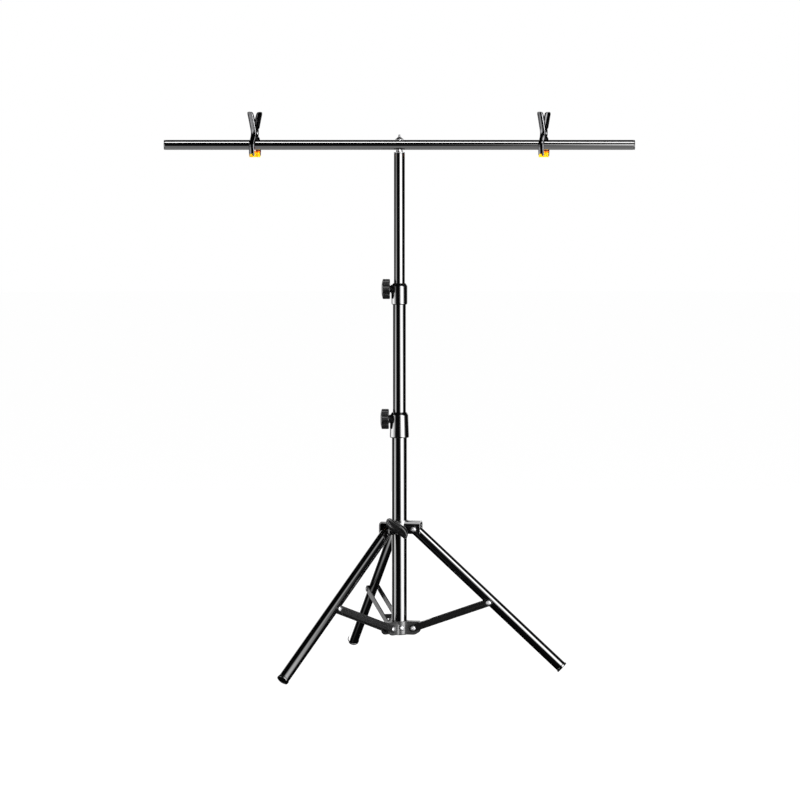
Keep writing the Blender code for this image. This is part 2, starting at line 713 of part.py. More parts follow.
def make_leg_collar(collar, arms):
    height = COLLAR_TOP + COLLAR_BOTTOM + 2 * COLLAR_SLEEVE_PROUD
    middle = (COLLAR_TOP - COLLAR_BOTTOM) / 2
    low = LEG_PIVOT_Z - COLLAR_BOTTOM - COLLAR_SLEEVE_PROUD
    sleeve = [(0, low + height), (COLLAR_SLEEVE_R, low + height), (COLLAR_SLEEVE_R, low), (0, low)]
    body = turned("leg_collar", sleeve, collar, BLACK_PLASTIC, steps=TUBE_STEPS)
    for name, arm in arms:
        join(body, extruded(
            "leg_collar_arm_" + name, arm_section(), COLLAR_ARM_REACH / 2, arm, BLACK_PLASTIC,
            location=(COLLAR_ARM_REACH / 2, 0, LEG_PIVOT_Z), rotation=PROFILE_IN_YZ,
        ))
    lock = joint_frame(
        "leg_collar_lock", collar, (0, 0, LEG_PIVOT_Z + COLLAR_LOCK_RISE),
        (0, math.pi / 2, COLLAR_LOCK_AZIMUTH),
    )
    join(body, rod(
        "leg_collar_boss", COLLAR_BOSS_R, COLLAR_BOSS_REACH, lock, steps=ROUND_STEPS,
        location=(0, 0, COLLAR_BOSS_REACH / 2),
    ))
    gap_height = COLLAR_TOP - COLLAR_TOP_WALL + COLLAR_BOTTOM + CUT_MARGIN
    gap_start = COLLAR_SLEEVE_R - CLEAR
    gap_length = COLLAR_ARM_REACH - gap_start + CUT_MARGIN
    for name, arm in arms:
        cut(body, box(
            "leg_gap_" + name, (gap_length, 2 * COLLAR_GAP_HALF, gap_height), arm,
            location=(
                gap_start + gap_length / 2, 0,
                LEG_PIVOT_Z + COLLAR_TOP - COLLAR_TOP_WALL - gap_height / 2,
            ),
        ))
        cut(body, rod(
            "leg_rivet_hole_" + name, LEG_RIVET_R + CLEAR, 4 * COLLAR_ARM_HALF, arm,
            location=(LEG_PIVOT_RADIUS, 0, LEG_PIVOT_Z), rotation=ALONG_Y,
        ))
        headed_pin(
            "leg_rivet_" + name, LEG_RIVET_R, RIVET_HEAD_R, COLLAR_ARM_HALF, arm, BARE_STEEL,
            location=(LEG_PIVOT_RADIUS, 0, LEG_PIVOT_Z), rotation=ALONG_Y,
        )
    cut(body, rod(
        "leg_collar_bore", LOWER_TUBE_R + CLEAR, height + 2 * CUT_MARGIN, collar, steps=TUBE_STEPS,
        location=(0, 0, LEG_PIVOT_Z + middle), rotation=(0, 0, RIGHT_LEG_AZIMUTH),
    ))
    cut(body, rod(
        "leg_collar_screw_hole", WING_SCREW_R + CLEAR, COLLAR_BOSS_REACH, lock,
        location=(0, 0, LOWER_TUBE_R - CUT_MARGIN + COLLAR_BOSS_REACH / 2),
    ))
    return lock


def wing_outline():
    """Two rounded blades on a waist, long along X."""
    centre = WING_LENGTH / 2 - WING_END_R
    lean = WING_END_LEAN
    points = arc((centre, 0), WING_END_R, -lean, lean, WING_END_STEPS)
    points.append((0, WING_WAIST))
    points += arc((-centre, 0), WING_END_R, math.pi - lean, math.pi + lean, WING_END_STEPS)
    points.append((0, -WING_WAIST))
    return points


def wing_knob(lock):
    """Wing knob and its screw about the frame's Z, which points away from the column."""
    low = WING_BARREL_START
    high = low + WING_BARREL_LENGTH
    edge = KNOB_ROUND
    barrel = [
        (0, high),
        (WING_BARREL_R - edge, high),
        (WING_BARREL_R, high - edge),
        (WING_BARREL_R, low + edge),
        (WING_BARREL_R - edge / 2, low),
        (0, low),
    ]
    knob = turned("wing_knob", barrel, lock, KNOB_PLASTIC, steps=ROUND_STEPS)
    wing = extruded(
        "wing_blades", wing_outline(), WING_DEPTH / 2, lock, KNOB_PLASTIC,
        location=(0, 0, WING_START + WING_DEPTH / 2), rotation=(0, 0, WING_TILT),
    )
    join(knob, wing)
    blind = low + WING_SCREW_DEPTH
    cut(knob, rod(
        "wing_knob_bore", WING_SCREW_R + CLEAR, WING_SCREW_DEPTH + CUT_MARGIN, lock,
        location=(0, 0, blind - (WING_SCREW_DEPTH + CUT_MARGIN) / 2),
    ))
    tip = LOWER_TUBE_R + CLEAR
    end = blind - CLEAR
    profile = [
        (0, end),
        (WING_SCREW_R, end),
        (WING_SCREW_R, tip + COLLAR_CHAMFER / 2),
        (WING_SCREW_R - COLLAR_CHAMFER / 2, tip),
        (0, tip),
    ]
    turned("wing_knob_screw", profile, lock, BARE_STEEL, steps=RIVET_STEPS)


# Legs and struts, built once for each arm
def make_leg(name, hinge):
    """Leg tube along the hinge frame's -Z, with its foot cap."""
    flange_top = -LEG_LENGTH + FOOT_FLANGE_LENGTH
    profile = pipe_profile(LEG_R, TUBE_WALL, flange_top + CLEAR, LEG_TOP_REACH)
    tube = turned("leg_" + name, profile, hinge, BLACK_PAINT, ring=True, steps=TUBE_STEPS)
    cut(tube, rod("leg_hole_" + name, LEG_RIVET_R + CLEAR, 4 * LEG_R, hinge, rotation=ALONG_Y))
    spigot = LEG_R - TUBE_WALL - CLEAR
    cap = [
        (0, flange_top + FOOT_SPIGOT_LENGTH),
        (spigot, flange_top + FOOT_SPIGOT_LENGTH),
        (spigot, flange_top),
        (FOOT_FLANGE_R, flange_top),
        (FOOT_FLANGE_R, -LEG_LENGTH + FOOT_ROUND),
        (FOOT_FLANGE_R - FOOT_ROUND, -LEG_LENGTH),
        (0, -LEG_LENGTH),
    ]
    turned("foot_" + name, cap, hinge, BLACK_PLASTIC, steps=TUBE_STEPS)


def make_strut(name, hinge):
    """Two rails along the hinge frame's +X, joined by a web near the hub, with rivet stubs."""
    half = STRUT_HALF_HEIGHT
    length = STRUT_LENGTH
    outline = arc((length, 0), half, -math.pi / 2, math.pi / 2, STRUT_END_STEPS)
    outline += arc((0, 0), half, math.pi / 2, 3 * math.pi / 2, STRUT_END_STEPS)
    strut = extruded(
        "strut_" + name, outline, RAIL_OUTER, hinge, STRUT_PAINT, rotation=PROFILE_IN_XZ
    )
    far = half + CUT_MARGIN
    web_end = STRUT_WEB_START + STRUT_WEB_LENGTH
    web_under = half - STRUT_RAIL_WALL
    inside = [
        (-far, -far),
        (length + far, -far),
        (length + far, far),
        (web_end, far),
        (web_end, web_under),
        (STRUT_WEB_START, web_under),
        (STRUT_WEB_START, far),
        (-far, far),
    ]
    cut(strut, extruded(
        "strut_inside_" + name, inside, RAIL_INNER, hinge, STRUT_PAINT, rotation=PROFILE_IN_XZ
    ))
    for end in (0, length):
        cut(strut, rod(
            "strut_hole_" + name, HUB_RIVET_R + CLEAR, 4 * RAIL_OUTER, hinge,
            location=(end, 0, 0), rotation=ALONG_Y,
        ))
    seat = RAIL_OUTER + CLEAR
    top = seat + RIVET_HEAD
    stub = [
        (0, top),
        (RIVET_HEAD_R - RIVET_HEAD_ROUND, top),
        (RIVET_HEAD_R, top - RIVET_HEAD_ROUND),
        (RIVET_HEAD_R, seat),
        (HUB_RIVET_R, seat),
        (HUB_RIVET_R, RAIL_INNER),
        (0, RAIL_INNER),
    ]
    for side, turn in (("a", math.pi / 2), ("b", -math.pi / 2)):
        turned(
            "strut_rivet_" + name + "_" + side, stub, hinge, BARE_STEEL, steps=RIVET_STEPS,
            location=(length, 0, 0), rotation=(turn, 0, 0),
        )


# Crossbar with its plug, stud and nut
def top_fittings(top, nut_frame):
    plug_r = TOP_TUBE_R - TUBE_WALL - CLEAR
    seat = TOP_TUBE_TOP + CLEAR
    flange = seat + TOP_PLUG_FLANGE
    floor = flange - STUD_DEPTH - CLEAR
    bore = STUD_R + CLEAR
    plug = [
        (0, floor),
        (bore, floor),
        (bore, flange),
        (TOP_TUBE_R - FOOT_ROUND / 2, flange),
        (TOP_TUBE_R, flange - FOOT_ROUND / 2),
        (TOP_TUBE_R, seat),
        (plug_r, seat),
        (plug_r, TOP_TUBE_TOP - TOP_PLUG_LENGTH),
        (0, TOP_TUBE_TOP - TOP_PLUG_LENGTH),
    ]
    turned("top_plug", plug, top, BARE_STEEL)
    base = STUD_SEAT_Z
    shoulder = base + STUD_COLLAR_HEIGHT
    crown_floor = BAR_Z + BAR_R + CLEAR + NUT_HEIGHT - NUT_CROWN_WALL
    tip = BAR_Z + BAR_R + CLEAR + NUT_HEIGHT + STUD_TIP_LENGTH - NUT_CROWN_WALL
    stud = [
        (0, tip),
        (STUD_TIP_FLAT_R, tip),
        (STUD_TIP_R, tip - STUD_TIP_CHAMFER),
        (STUD_TIP_R, crown_floor - CLEAR),
        (STUD_R, crown_floor - CLEAR),
        (STUD_R, shoulder),
        (STUD_COLLAR_R, shoulder),
        (STUD_COLLAR_R, base),
        (STUD_R, base),
        (STUD_R, base - STUD_DEPTH),
        (0, base - STUD_DEPTH),
    ]
    turned("stud", stud, top, BARE_STEEL)
    low = BAR_Z + BAR_R + CLEAR
    high = low + NUT_HEIGHT
    nut = [
        (NUT_CROWN_R, high),
        (NUT_SHOULDER_R, low + NUT_SHOULDER_RISE),
        (NUT_R, low + NUT_FLANGE),
        (NUT_R, low),
        (STUD_R + CLEAR, low),
        (STUD_R + CLEAR, crown_floor),
        (STUD_TIP_R + CLEAR, crown_floor),
        (STUD_TIP_R + CLEAR, high),
    ]
    turned("cap_nut", nut, nut_frame, BARE_STEEL, ring=True)


def make_crossbar(bar):
    half = BAR_LENGTH / 2
    tube_half = half - BAR_PLUG_FLANGE - CLEAR
    profile = pipe_profile(BAR_R, BAR_WALL, -tube_half, tube_half)
    tube = turned(
        "crossbar", profile, bar, BLACK_PAINT, ring=True, steps=TUBE_STEPS, rotation=ALONG_X
    )
    cut(tube, rod("crossbar_hole", STUD_R + CLEAR, 4 * BAR_R, bar, steps=ROUND_STEPS))
    spigot = BAR_R - BAR_WALL - CLEAR
    plug = [
        (0, half),
        (BAR_R - FOOT_ROUND, half),
        (BAR_R, half - FOOT_ROUND),
        (BAR_R, half - BAR_PLUG_FLANGE),
        (spigot, half - BAR_PLUG_FLANGE),
        (spigot, half - BAR_PLUG_SPIGOT),
        (0, half - BAR_PLUG_SPIGOT),
    ]
    for side, sign in (("left", -1), ("right", 1)):
        turned(
            "bar_plug_" + side, plug, bar, BLACK_PLASTIC, steps=TUBE_STEPS,
            rotation=(0, sign * math.pi / 2, 0),
        )


# Spring clamps
def smooth_path(knots, steps):
    """Curve through the knots, evenly weighted, with the given steps to each span."""
    points = []
    last = len(knots) - 1
    for index in range(last):
        before = knots[max(index - 1, 0)]
        start = knots[index]
        end = knots[index + 1]
        after = knots[min(index + 2, last)]
        for step in range(steps):
            t = step / steps
            spot = []
            for a, b, c, d in zip(before, start, end, after):
                bend = 2 * b + (c - a) * t + (2 * a - 5 * b + 4 * c - d) * t ** 2
                spot.append((bend + (3 * b - a - 3 * c + d) * t ** 3) / 2)
            points.append(tuple(spot))
    points.append(tuple(knots[last]))
    return points


def lever_knots():
    """Outer face of a lever from handle tip to jaw end: u, z and the depth of its flanges."""
    waist = CLAMP_WAIST_REACH
    pin = CLAMP_PIN_RISE
    rise = CLAMP_HANDLE_RISE - pin
    spread = CLAMP_HANDLE_SPREAD - waist
    bulge = waist + CLAMP_JAW_BULGE
    knots = []
    for out, up in HANDLE_POINTS:
        flange = CLAMP_FLANGE_TIP if up == 1.0 else CLAMP_FLANGE_HANDLE
        knots.append((waist + spread * out, pin + rise * up, flange))
    knots.append((waist, pin - CLAMP_WAIST_DROP, CLAMP_FLANGE_HANDLE))
    knots.append((waist + CLAMP_JAW_ENTRY_REACH, CLAMP_JAW_ENTRY_RISE, CLAMP_FLANGE_JAW))
    knots.append((bulge - CLAMP_JAW_UPPER_SETBACK, CLAMP_JAW_UPPER_RISE, CLAMP_FLANGE_JAW))
    knots.append((bulge, -CLAMP_JAW_MIDDLE_DROP, CLAMP_FLANGE_JAW))
    knots.append((bulge - CLAMP_JAW_LOWER_SETBACK, -CLAMP_JAW_LOWER_DROP, CLAMP_FLANGE_JAW))
    knots.append((bulge - CLAMP_JAW_END_SETBACK, -CLAMP_JAW_DROP, CLAMP_FLANGE_JAW_END))
    return knots


def inward(path, depth_of):
    """The path moved towards the other lever, square to itself, by depth_of each point."""
    moved = []
    last = len(path) - 1
    for index, (u, z, depth) in enumerate(path):
        ahead = path[min(index + 1, last)]
        behind = path[max(index - 1, 0)]
        run = Vector((ahead[0] - behind[0], ahead[1] - behind[1])).normalized()
        shift = depth_of(depth)
        moved.append((u + run.y * shift, z - run.x * shift))
    return moved


def mirrored(points, side):
    """Points of the front lever for side 1, or of the rear lever for side -1."""
    return [(side * u, z) for u, z in points]


def span_of(points, low, high):
    """The points of a falling line between two heights, with ends set at those heights."""
    kept = [point for point in points if low < point[1] < high]
    top = [(kept[0][0], high)]
    bottom = [(kept[-1][0], low)]
    return top + kept + bottom


def clamp_lever(name, side, frame, hinge):
    """Channel-shaped lever: side 1 is the front lever, side -1 the rear one."""
    path = smooth_path(lever_knots(), CLAMP_CURVE_STEPS)
    outer = [(u, z) for u, z, depth in path]
    edge = inward(path, lambda depth: depth)
    face = inward(path, lambda depth: CLAMP_WALL)
    lever = extruded(
        name, mirrored(outer + edge[::-1], side), CLAMP_HALF_WIDTH, hinge, CLAMP_STEEL,
        rotation=PROFILE_IN_XZ,
    )
    pin = (0, 0, CLAMP_PIN_RISE)
    front = side > 0
    inner_half = CLAMP_HALF_WIDTH - CLAMP_WALL
    nested_half = inner_half - CLEAR
    ear_half = CLAMP_HALF_WIDTH if front else nested_half
    if not front:
        notch_length = CLAMP_HALF_WIDTH - nested_half + CUT_MARGIN
        for sign in (-1, 1):
            cut(lever, rod(
                name + "_notch", CLAMP_EAR_R + CLEAR, notch_length, hinge, steps=ROUND_STEPS,
                location=(0, sign * (nested_half + notch_length / 2), CLAMP_PIN_RISE),
                rotation=ALONG_Y,
            ))
    join(lever, rod(
        name + "_ears", CLAMP_EAR_R, 2 * ear_half, hinge, steps=ROUND_STEPS,
        location=pin, rotation=ALONG_Y,
    ))
    reach = CLAMP_WAIST_REACH
    below = -CLAMP_JAW_DROP - CUT_MARGIN
    above = CLAMP_HANDLE_RISE - CLAMP_TIP_WALL
    deep = inner_half if front else nested_half - CLAMP_WALL
    hollow = span_of(face, below, above)
    hollow += [(-reach, below), (-reach, above)]
    cut(lever, extruded(
        name + "_hollow", mirrored(hollow, side), deep, hinge, CLAMP_STEEL, rotation=PROFILE_IN_XZ
    ))
    if not front:
        clear_of_ears = CLAMP_EAR_R + 2 * CLAMP_WALL
        for label, low, high in (
            ("_handle_hollow", CLAMP_PIN_RISE + clear_of_ears, above),
            ("_jaw_hollow", below, CLAMP_PIN_RISE - clear_of_ears),
        ):
            wide = span_of(face, low, high)
            wide += [(-reach, low), (-reach, high)]
            cut(lever, extruded(
                name + label, mirrored(wide, side), inner_half, hinge, CLAMP_STEEL,
                rotation=PROFILE_IN_XZ,
            ))
    cut(lever, rod(
        name + "_pin_hole", CLAMP_PIN_R + CLEAR, 4 * CLAMP_HALF_WIDTH, hinge,
        location=pin, rotation=ALONG_Y,
    ))
    return lever


def clamp_pad(name, side, hinge):
    """Soft pad inside the jaw end, with a lip under it."""
    path = smooth_path(lever_knots(), CLAMP_CURVE_STEPS)
    face = inward(path, lambda depth: CLAMP_WALL + CLEAR)
    lip_top = -CLAMP_JAW_DROP - CLEAR
    back = span_of(face, lip_top, -PAD_TOP)
    lip_out = path[-1][0]
    inner = back[-1][0] - PAD_THICKNESS
    outline = back + [
        (lip_out, lip_top),
        (lip_out, lip_top - PAD_LIP),
        (inner + PAD_LIP / 2, lip_top - PAD_LIP),
        (inner, lip_top),
        (inner, -PAD_TOP),
    ]
    half = CLAMP_HALF_WIDTH - CLAMP_WALL - CLEAR
    return extruded(
        name, mirrored(outline, side), half, hinge, PAD_ORANGE, rotation=PROFILE_IN_XZ
    )


def spring_path():
    """One unbroken wire: front leg, coil about the pin, rear leg."""
    coil_r = CLAMP_PIN_R + SPRING_PIN_GAP + SPRING_WIRE_R
    face = inward(
        smooth_path(lever_knots(), CLAMP_CURVE_STEPS),
        lambda depth: CLAMP_WALL + CLEAR + SPRING_WIRE_R,
    )
    leg_z = CLAMP_PIN_RISE + SPRING_LEG_RISE
    above, below = next(
        (high, low) for high, low in zip(face, face[1:]) if high[1] >= leg_z >= low[1]
    )
    share = (above[1] - leg_z) / (above[1] - below[1])
    leg_u = above[0] + (below[0] - above[0]) * share
    half_length = SPRING_TURNS * SPRING_PITCH / 2
    front_leg = []
    for index in range(SPRING_LEG_POINTS):
        share = index / SPRING_LEG_POINTS
        u = leg_u + (coil_r - leg_u) * share
        z = leg_z + (CLAMP_PIN_RISE - leg_z) * share
        front_leg.append(Vector((u, -half_length, z)))
    coil = []
    count = round(SPRING_TURNS * SPRING_POINTS_PER_TURN)
    for index in range(count + 1):
        angle = -math.tau * SPRING_TURNS * index / count
        coil.append(Vector((
            coil_r * math.cos(angle),
            half_length * (2 * index / count - 1),
            CLAMP_PIN_RISE + coil_r * math.sin(angle),
        )))
    rear_leg = [Vector((-spot.x, half_length, spot.z)) for spot in reversed(front_leg)]
    return front_leg + coil + rear_leg, coil


def report_spring_gap(coil):
    """Least gap between one turn of the coil and the next."""
    turn = SPRING_POINTS_PER_TURN
    least = min(
        (coil[index] - coil[other]).length - 2 * SPRING_WIRE_R
        for index in range(len(coil))
        for other in range(index + turn - 2, len(coil))
    )
    print(f"spring least gap {least * 1000:.3f} mm, wanted over {SPRING_LEAST_GAP * 1000:.1f} mm")


def make_clamp(side_name, sign, bar):
    """Clamp turned a little on the bar; its own X points to the front."""
    clamp = joint_frame(
        "clamp_" + side_name + "_frame", bar, (sign * CLAMP_OFFSET, 0, 0),
        (0, 0, -math.pi / 2 - CLAMP_YAW),
    )
    clamp_lever("clamp_" + side_name + "_front_lever", 1, clamp, clamp)
    clamp_lever("clamp_" + side_name + "_rear_lever", -1, clamp, clamp)
    clamp_pad("clamp_" + side_name + "_front_pad", 1, clamp)
    clamp_pad("clamp_" + side_name + "_rear_pad", -1, clamp)
    headed_pin(
        "clamp_" + side_name + "_pin", CLAMP_PIN_R, CLAMP_PIN_HEAD_R, CLAMP_HALF_WIDTH, clamp,
        BARE_STEEL, head=CLAMP_PIN_HEAD, location=(0, 0, CLAMP_PIN_RISE), rotation=ALONG_Y,
    )
    path, coil = spring_path()
    wire("clamp_" + side_name + "_spring", path, SPRING_WIRE_R, clamp, SPRING_STEEL)
    return coil


# Assembly
def build():
    column = joint_frame("column", None, (0, column_y(), 0))
    middle = joint_frame("middle_slide", column)
    top = joint_frame("top_slide", middle)
    collar = joint_frame("leg_collar_slide", column)

    tube, middle_tube, top_tube = column_tubes(column, middle, top)
    guide_bush(
        "middle_bush", MIDDLE_TUBE_R, MIDDLE_TUBE_TOP - MIDDLE_TUBE_LENGTH, LOWER_TUBE_R, middle
    )
    guide_bush("top_bush", TOP_TUBE_R, TOP_TUBE_TOP - TOP_TUBE_LENGTH, MIDDLE_TUBE_R, top)

    lower_lock_z = LOWER_TUBE_TOP + LOWER_LOCK_RISE
    upper_lock_z = MIDDLE_TUBE_TOP + UPPER_LOCK_RISE
    lock_collar(
        "lower_collar", LOWER_COLLAR_Z, LOWER_COLLAR_HEIGHT, LOWER_COLLAR_BOTTOM_R,
        LOWER_COLLAR_TOP_R, LOWER_TUBE_R, LOWER_TUBE_TOP, MIDDLE_TUBE_R, lower_lock_z, column,
    )
    lock_collar(
        "upper_collar", UPPER_COLLAR_Z, UPPER_COLLAR_HEIGHT, UPPER_COLLAR_R, UPPER_COLLAR_R,
        MIDDLE_TUBE_R, MIDDLE_TUBE_TOP, TOP_TUBE_R, upper_lock_z, middle,
    )
    rise = (lower_lock_z - LOWER_COLLAR_Z) / LOWER_COLLAR_HEIGHT
    lower_face = LOWER_COLLAR_BOTTOM_R + (LOWER_COLLAR_TOP_R - LOWER_COLLAR_BOTTOM_R) * rise
    to_left = (0, -math.pi / 2, 0)
    lower_turn = joint_frame("lower_knob_turn", column, (0, 0, lower_lock_z), to_left)
    upper_turn = joint_frame("upper_knob_turn", middle, (0, 0, upper_lock_z), to_left)
    star_knob("lower_knob", lower_face, MIDDLE_TUBE_R, lower_turn)
    star_knob("upper_knob", UPPER_COLLAR_R, TOP_TUBE_R, upper_turn)

    hub_arms = []
    collar_arms = []
    for index, name in enumerate(LEG_NAMES):
        azimuth = RIGHT_LEG_AZIMUTH + index * LEG_SPACING
        hub_arm = joint_frame("hub_arm_" + name, column, rotation=(0, 0, azimuth))
        collar_arm = joint_frame("collar_arm_" + name, collar, rotation=(0, 0, azimuth))
        hub_arms.append((name, hub_arm))
        collar_arms.append((name, collar_arm))
        leg_hinge = joint_frame(
            "leg_hinge_" + name, collar_arm, (LEG_PIVOT_RADIUS, 0, LEG_PIVOT_Z), (0, -LEG_ANGLE, 0)
        )
        make_leg(name, leg_hinge)
        strut_hinge = joint_frame(
            "strut_hinge_" + name, hub_arm, (HUB_PIVOT_RADIUS, 0, HUB_PIVOT_Z), (0, -STRUT_ANGLE, 0)
        )
        make_strut(name, strut_hinge)
    plug = bottom_plug(column)
    hub = make_hub(column, hub_arms)
    hub_screw(column, hub, tube, plug)
    lock = make_leg_collar(collar, collar_arms)
    wing_knob(lock)

    bar = joint_frame("crossbar_swivel", top, (0, 0, BAR_Z))
    nut_turn = joint_frame("cap_nut_turn", top)
    top_fittings(top, nut_turn)
    make_crossbar(bar)
    coil = None
    for side_name, sign in CLAMP_SIDES:
        coil = make_clamp(side_name, sign, bar)
    report_spring_gap(coil)


build()
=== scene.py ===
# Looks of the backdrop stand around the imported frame: fine surfaces, finishes, studio and camera.
# Units are metres, +Z is up, the feet stand on z = 0 and the crossbar lies along X.

import json
from math import atan2, copysign, cos, dist, hypot, pi, radians, sin, sqrt, tan, tau

import bmesh
import bpy
from mathutils import Matrix, Vector

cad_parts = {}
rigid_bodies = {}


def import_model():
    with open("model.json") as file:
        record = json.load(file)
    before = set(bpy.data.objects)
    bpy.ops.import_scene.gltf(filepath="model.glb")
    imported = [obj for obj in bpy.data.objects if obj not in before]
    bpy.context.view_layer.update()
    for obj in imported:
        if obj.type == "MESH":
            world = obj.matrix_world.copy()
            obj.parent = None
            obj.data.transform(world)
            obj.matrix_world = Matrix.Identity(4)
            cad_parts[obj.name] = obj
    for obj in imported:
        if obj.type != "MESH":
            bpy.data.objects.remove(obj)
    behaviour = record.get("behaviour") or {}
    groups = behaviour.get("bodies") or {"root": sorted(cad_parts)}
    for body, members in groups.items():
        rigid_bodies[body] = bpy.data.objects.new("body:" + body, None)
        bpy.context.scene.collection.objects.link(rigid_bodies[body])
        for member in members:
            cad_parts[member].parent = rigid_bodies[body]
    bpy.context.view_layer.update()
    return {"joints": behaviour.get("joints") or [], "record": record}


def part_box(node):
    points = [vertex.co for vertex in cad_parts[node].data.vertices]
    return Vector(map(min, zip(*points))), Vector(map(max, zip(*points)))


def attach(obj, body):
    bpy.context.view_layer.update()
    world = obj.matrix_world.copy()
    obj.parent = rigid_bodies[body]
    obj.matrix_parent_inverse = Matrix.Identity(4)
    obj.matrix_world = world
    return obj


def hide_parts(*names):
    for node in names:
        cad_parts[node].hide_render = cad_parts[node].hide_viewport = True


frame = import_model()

RECORD = frame["record"]
JOINT_POS = {joint["name"]: joint["pos_m"] for joint in frame["joints"]}
NODE_BODY = {node: body for body, nodes in RECORD["behaviour"]["bodies"].items() for node in nodes}
NODE_SLOT = {part["node"]: part["material_slot"] for part in RECORD["subparts"]}
MATERIALS = {}

# Facets and fits
TUBE_STEPS = 96
ROUND_STEPS = 64
SMALL_STEPS = 48
ARC_STEPS = 5
CLEAR = 0.0003
MARGIN = 0.002
SMOOTH_ANGLE = radians(42.0)

# Column
TUBE_WALL = 0.0008
LIP_ROUND = 0.0003
COLLAR_ROUND = 0.0027
COLLAR_LIP = 0.0008
COLLAR_SHOULDER = 0.0038
COLLAR_FOOT_CHAMFER = 0.0011
BUSH_WALL = 0.0012
BUSH_SPIGOT_LENGTH = 0.012
PLUG_RIM = 0.0012
PLUG_BORE_R = 0.0045
PLUG_BORE_DEPTH = 0.009
LOCK_SCREW_R = 0.003
LOCK_BOSS_R = 0.0062
LOCK_BOSS_PROUD = 0.0009

# Star knobs
KNOB_LOBES = 6
KNOB_LOBE_DEPTH = 0.0030
KNOB_DOME = 0.0022
KNOB_NECK_R = 0.0049
KNOB_NECK_LENGTH = 0.0014
KNOB_THICKNESS = 0.0125
KNOB_R = 0.0154
KNOB_CAP_R = 0.0062
KNOB_BORE_DEPTH = 0.009
KNOB_STEPS = 180

# Tripod
LEG_NAMES = ("right", "back", "left")
RIGHT_LEG_AZIMUTH = radians(-13.0)
LEG_SPACING = tau / len(LEG_NAMES)
LEG_ANGLE = radians(48.0)
LEG_R = 0.008
LEG_LENGTH = 0.2893
LEG_TOP_REACH = 0.004
LEG_PIVOT_RADIUS = 0.023
LEG_RIVET_R = 0.0025
FOOT_FLANGE_R = 0.0087
FOOT_FLANGE_LENGTH = 0.003
FOOT_SPIGOT_LENGTH = 0.012
FOOT_RIM = 0.0012
FOOT_RECESS = 0.0005

# Leg collar, with heights from the leg pivots
SLEEVE_R = 0.0134
COLLAR_TOP = 0.012
COLLAR_BOTTOM = 0.0067
COLLAR_TOP_WALL = 0.0024
COLLAR_EAR_WALL = 0.0022
COLLAR_ARM_REACH = 0.032
COLLAR_EDGE_ROUND = 0.0065
COLLAR_BOSS_R = 0.0055
COLLAR_BOSS_REACH = 0.019
COLLAR_LOCK_RISE = 0.004
COLLAR_LOCK_AZIMUTH = radians(-95.0)

# Wing knob, with distances from the column's axis
WING_SCREW_R = 0.0025
WING_BARREL_START = 0.029
WING_BARREL_R = 0.006
WING_BARREL_LENGTH = 0.012
WING_BORE_DEPTH = 0.008
WING_START = 0.034
WING_DEPTH = 0.010
WING_LENGTH = 0.039
WING_TILT = radians(45.0)
WING_SWEEP = 0.0024
WING_WAIST = 0.0078
WING_TIP = 0.0046
WING_THINNING = 0.3
WING_RIDGE_PLACE = 0.45
WING_RIDGE_WIDTH = 0.45
WING_DISH = 0.0030
WING_SQUARENESS = 0.6
WING_VOXEL = 0.00032
WING_ROWS = 40
WING_AROUND = 40

# Hub
HUB_PIVOT_RADIUS = 0.0225
HUB_HEIGHT = 0.019
HUB_REACH = 0.031
HUB_ARM_HALF_WIDTH = 0.008
HUB_EAR_WALL = 0.0017
HUB_TOP_WALL = 0.0016
HUB_RING_WALL = 0.0022
HUB_FILLET_R = 0.0205
HUB_CORNER_R = 0.008
HUB_SHOULDER_INSET = 0.0019
HUB_SHOULDER_DROP = 0.005
HUB_WEB_RISE = 0.0009
HUB_RIVET_R = 0.002
HUB_SCREW_R = 0.0015
HUB_SCREW_HEAD_R = 0.0034
HUB_SCREW_HEAD = 0.0018
HUB_SCREW_LENGTH = 0.008
HUB_SCREW_RECESS = 0.42
HUB_TOP_HOLE_R = 0.0011
HUB_TOP_HOLE_RADIUS = 0.0172

# Struts
RAIL_WALL = 0.0015
STRUT_HALF_HEIGHT = 0.005
STRUT_WEB_START = 0.014
STRUT_WEB_LENGTH = 0.012

# Rivets
RIVET_HEAD_R = 0.0035
RIVET_HEAD = 0.0012
RIVET_RIM = 0.0005
RIVET_DIMPLE_R = 0.0008
RIVET_EDGE = 0.00018

# Crossbar, stud and nut
BAR_WALL = 0.0008
BAR_PLUG_FLANGE = 0.0014
BAR_PLUG_SPIGOT = 0.012
TOP_PLUG_LENGTH = 0.020
TOP_PLUG_FLANGE = 0.0010
STUD_R = 0.003
STUD_COLLAR_R = 0.0049
STUD_COLLAR_HEIGHT = 0.0026
STUD_DEPTH = 0.012
STUD_TIP_R = 0.0015
STUD_TIP_LENGTH = 0.0044
STUD_TIP_CHAMFER = 0.0004
THREAD_PITCH = 0.0005
THREAD_DEPTH = 0.00022
THREAD_ROWS = 72
NUT_R = 0.006
NUT_HEIGHT = 0.0036
NUT_FLANGE = 0.0007
NUT_CROWN_R = 0.0024
NUT_CROWN_WALL = 0.0009
NUT_SHOULDER = 0.0013

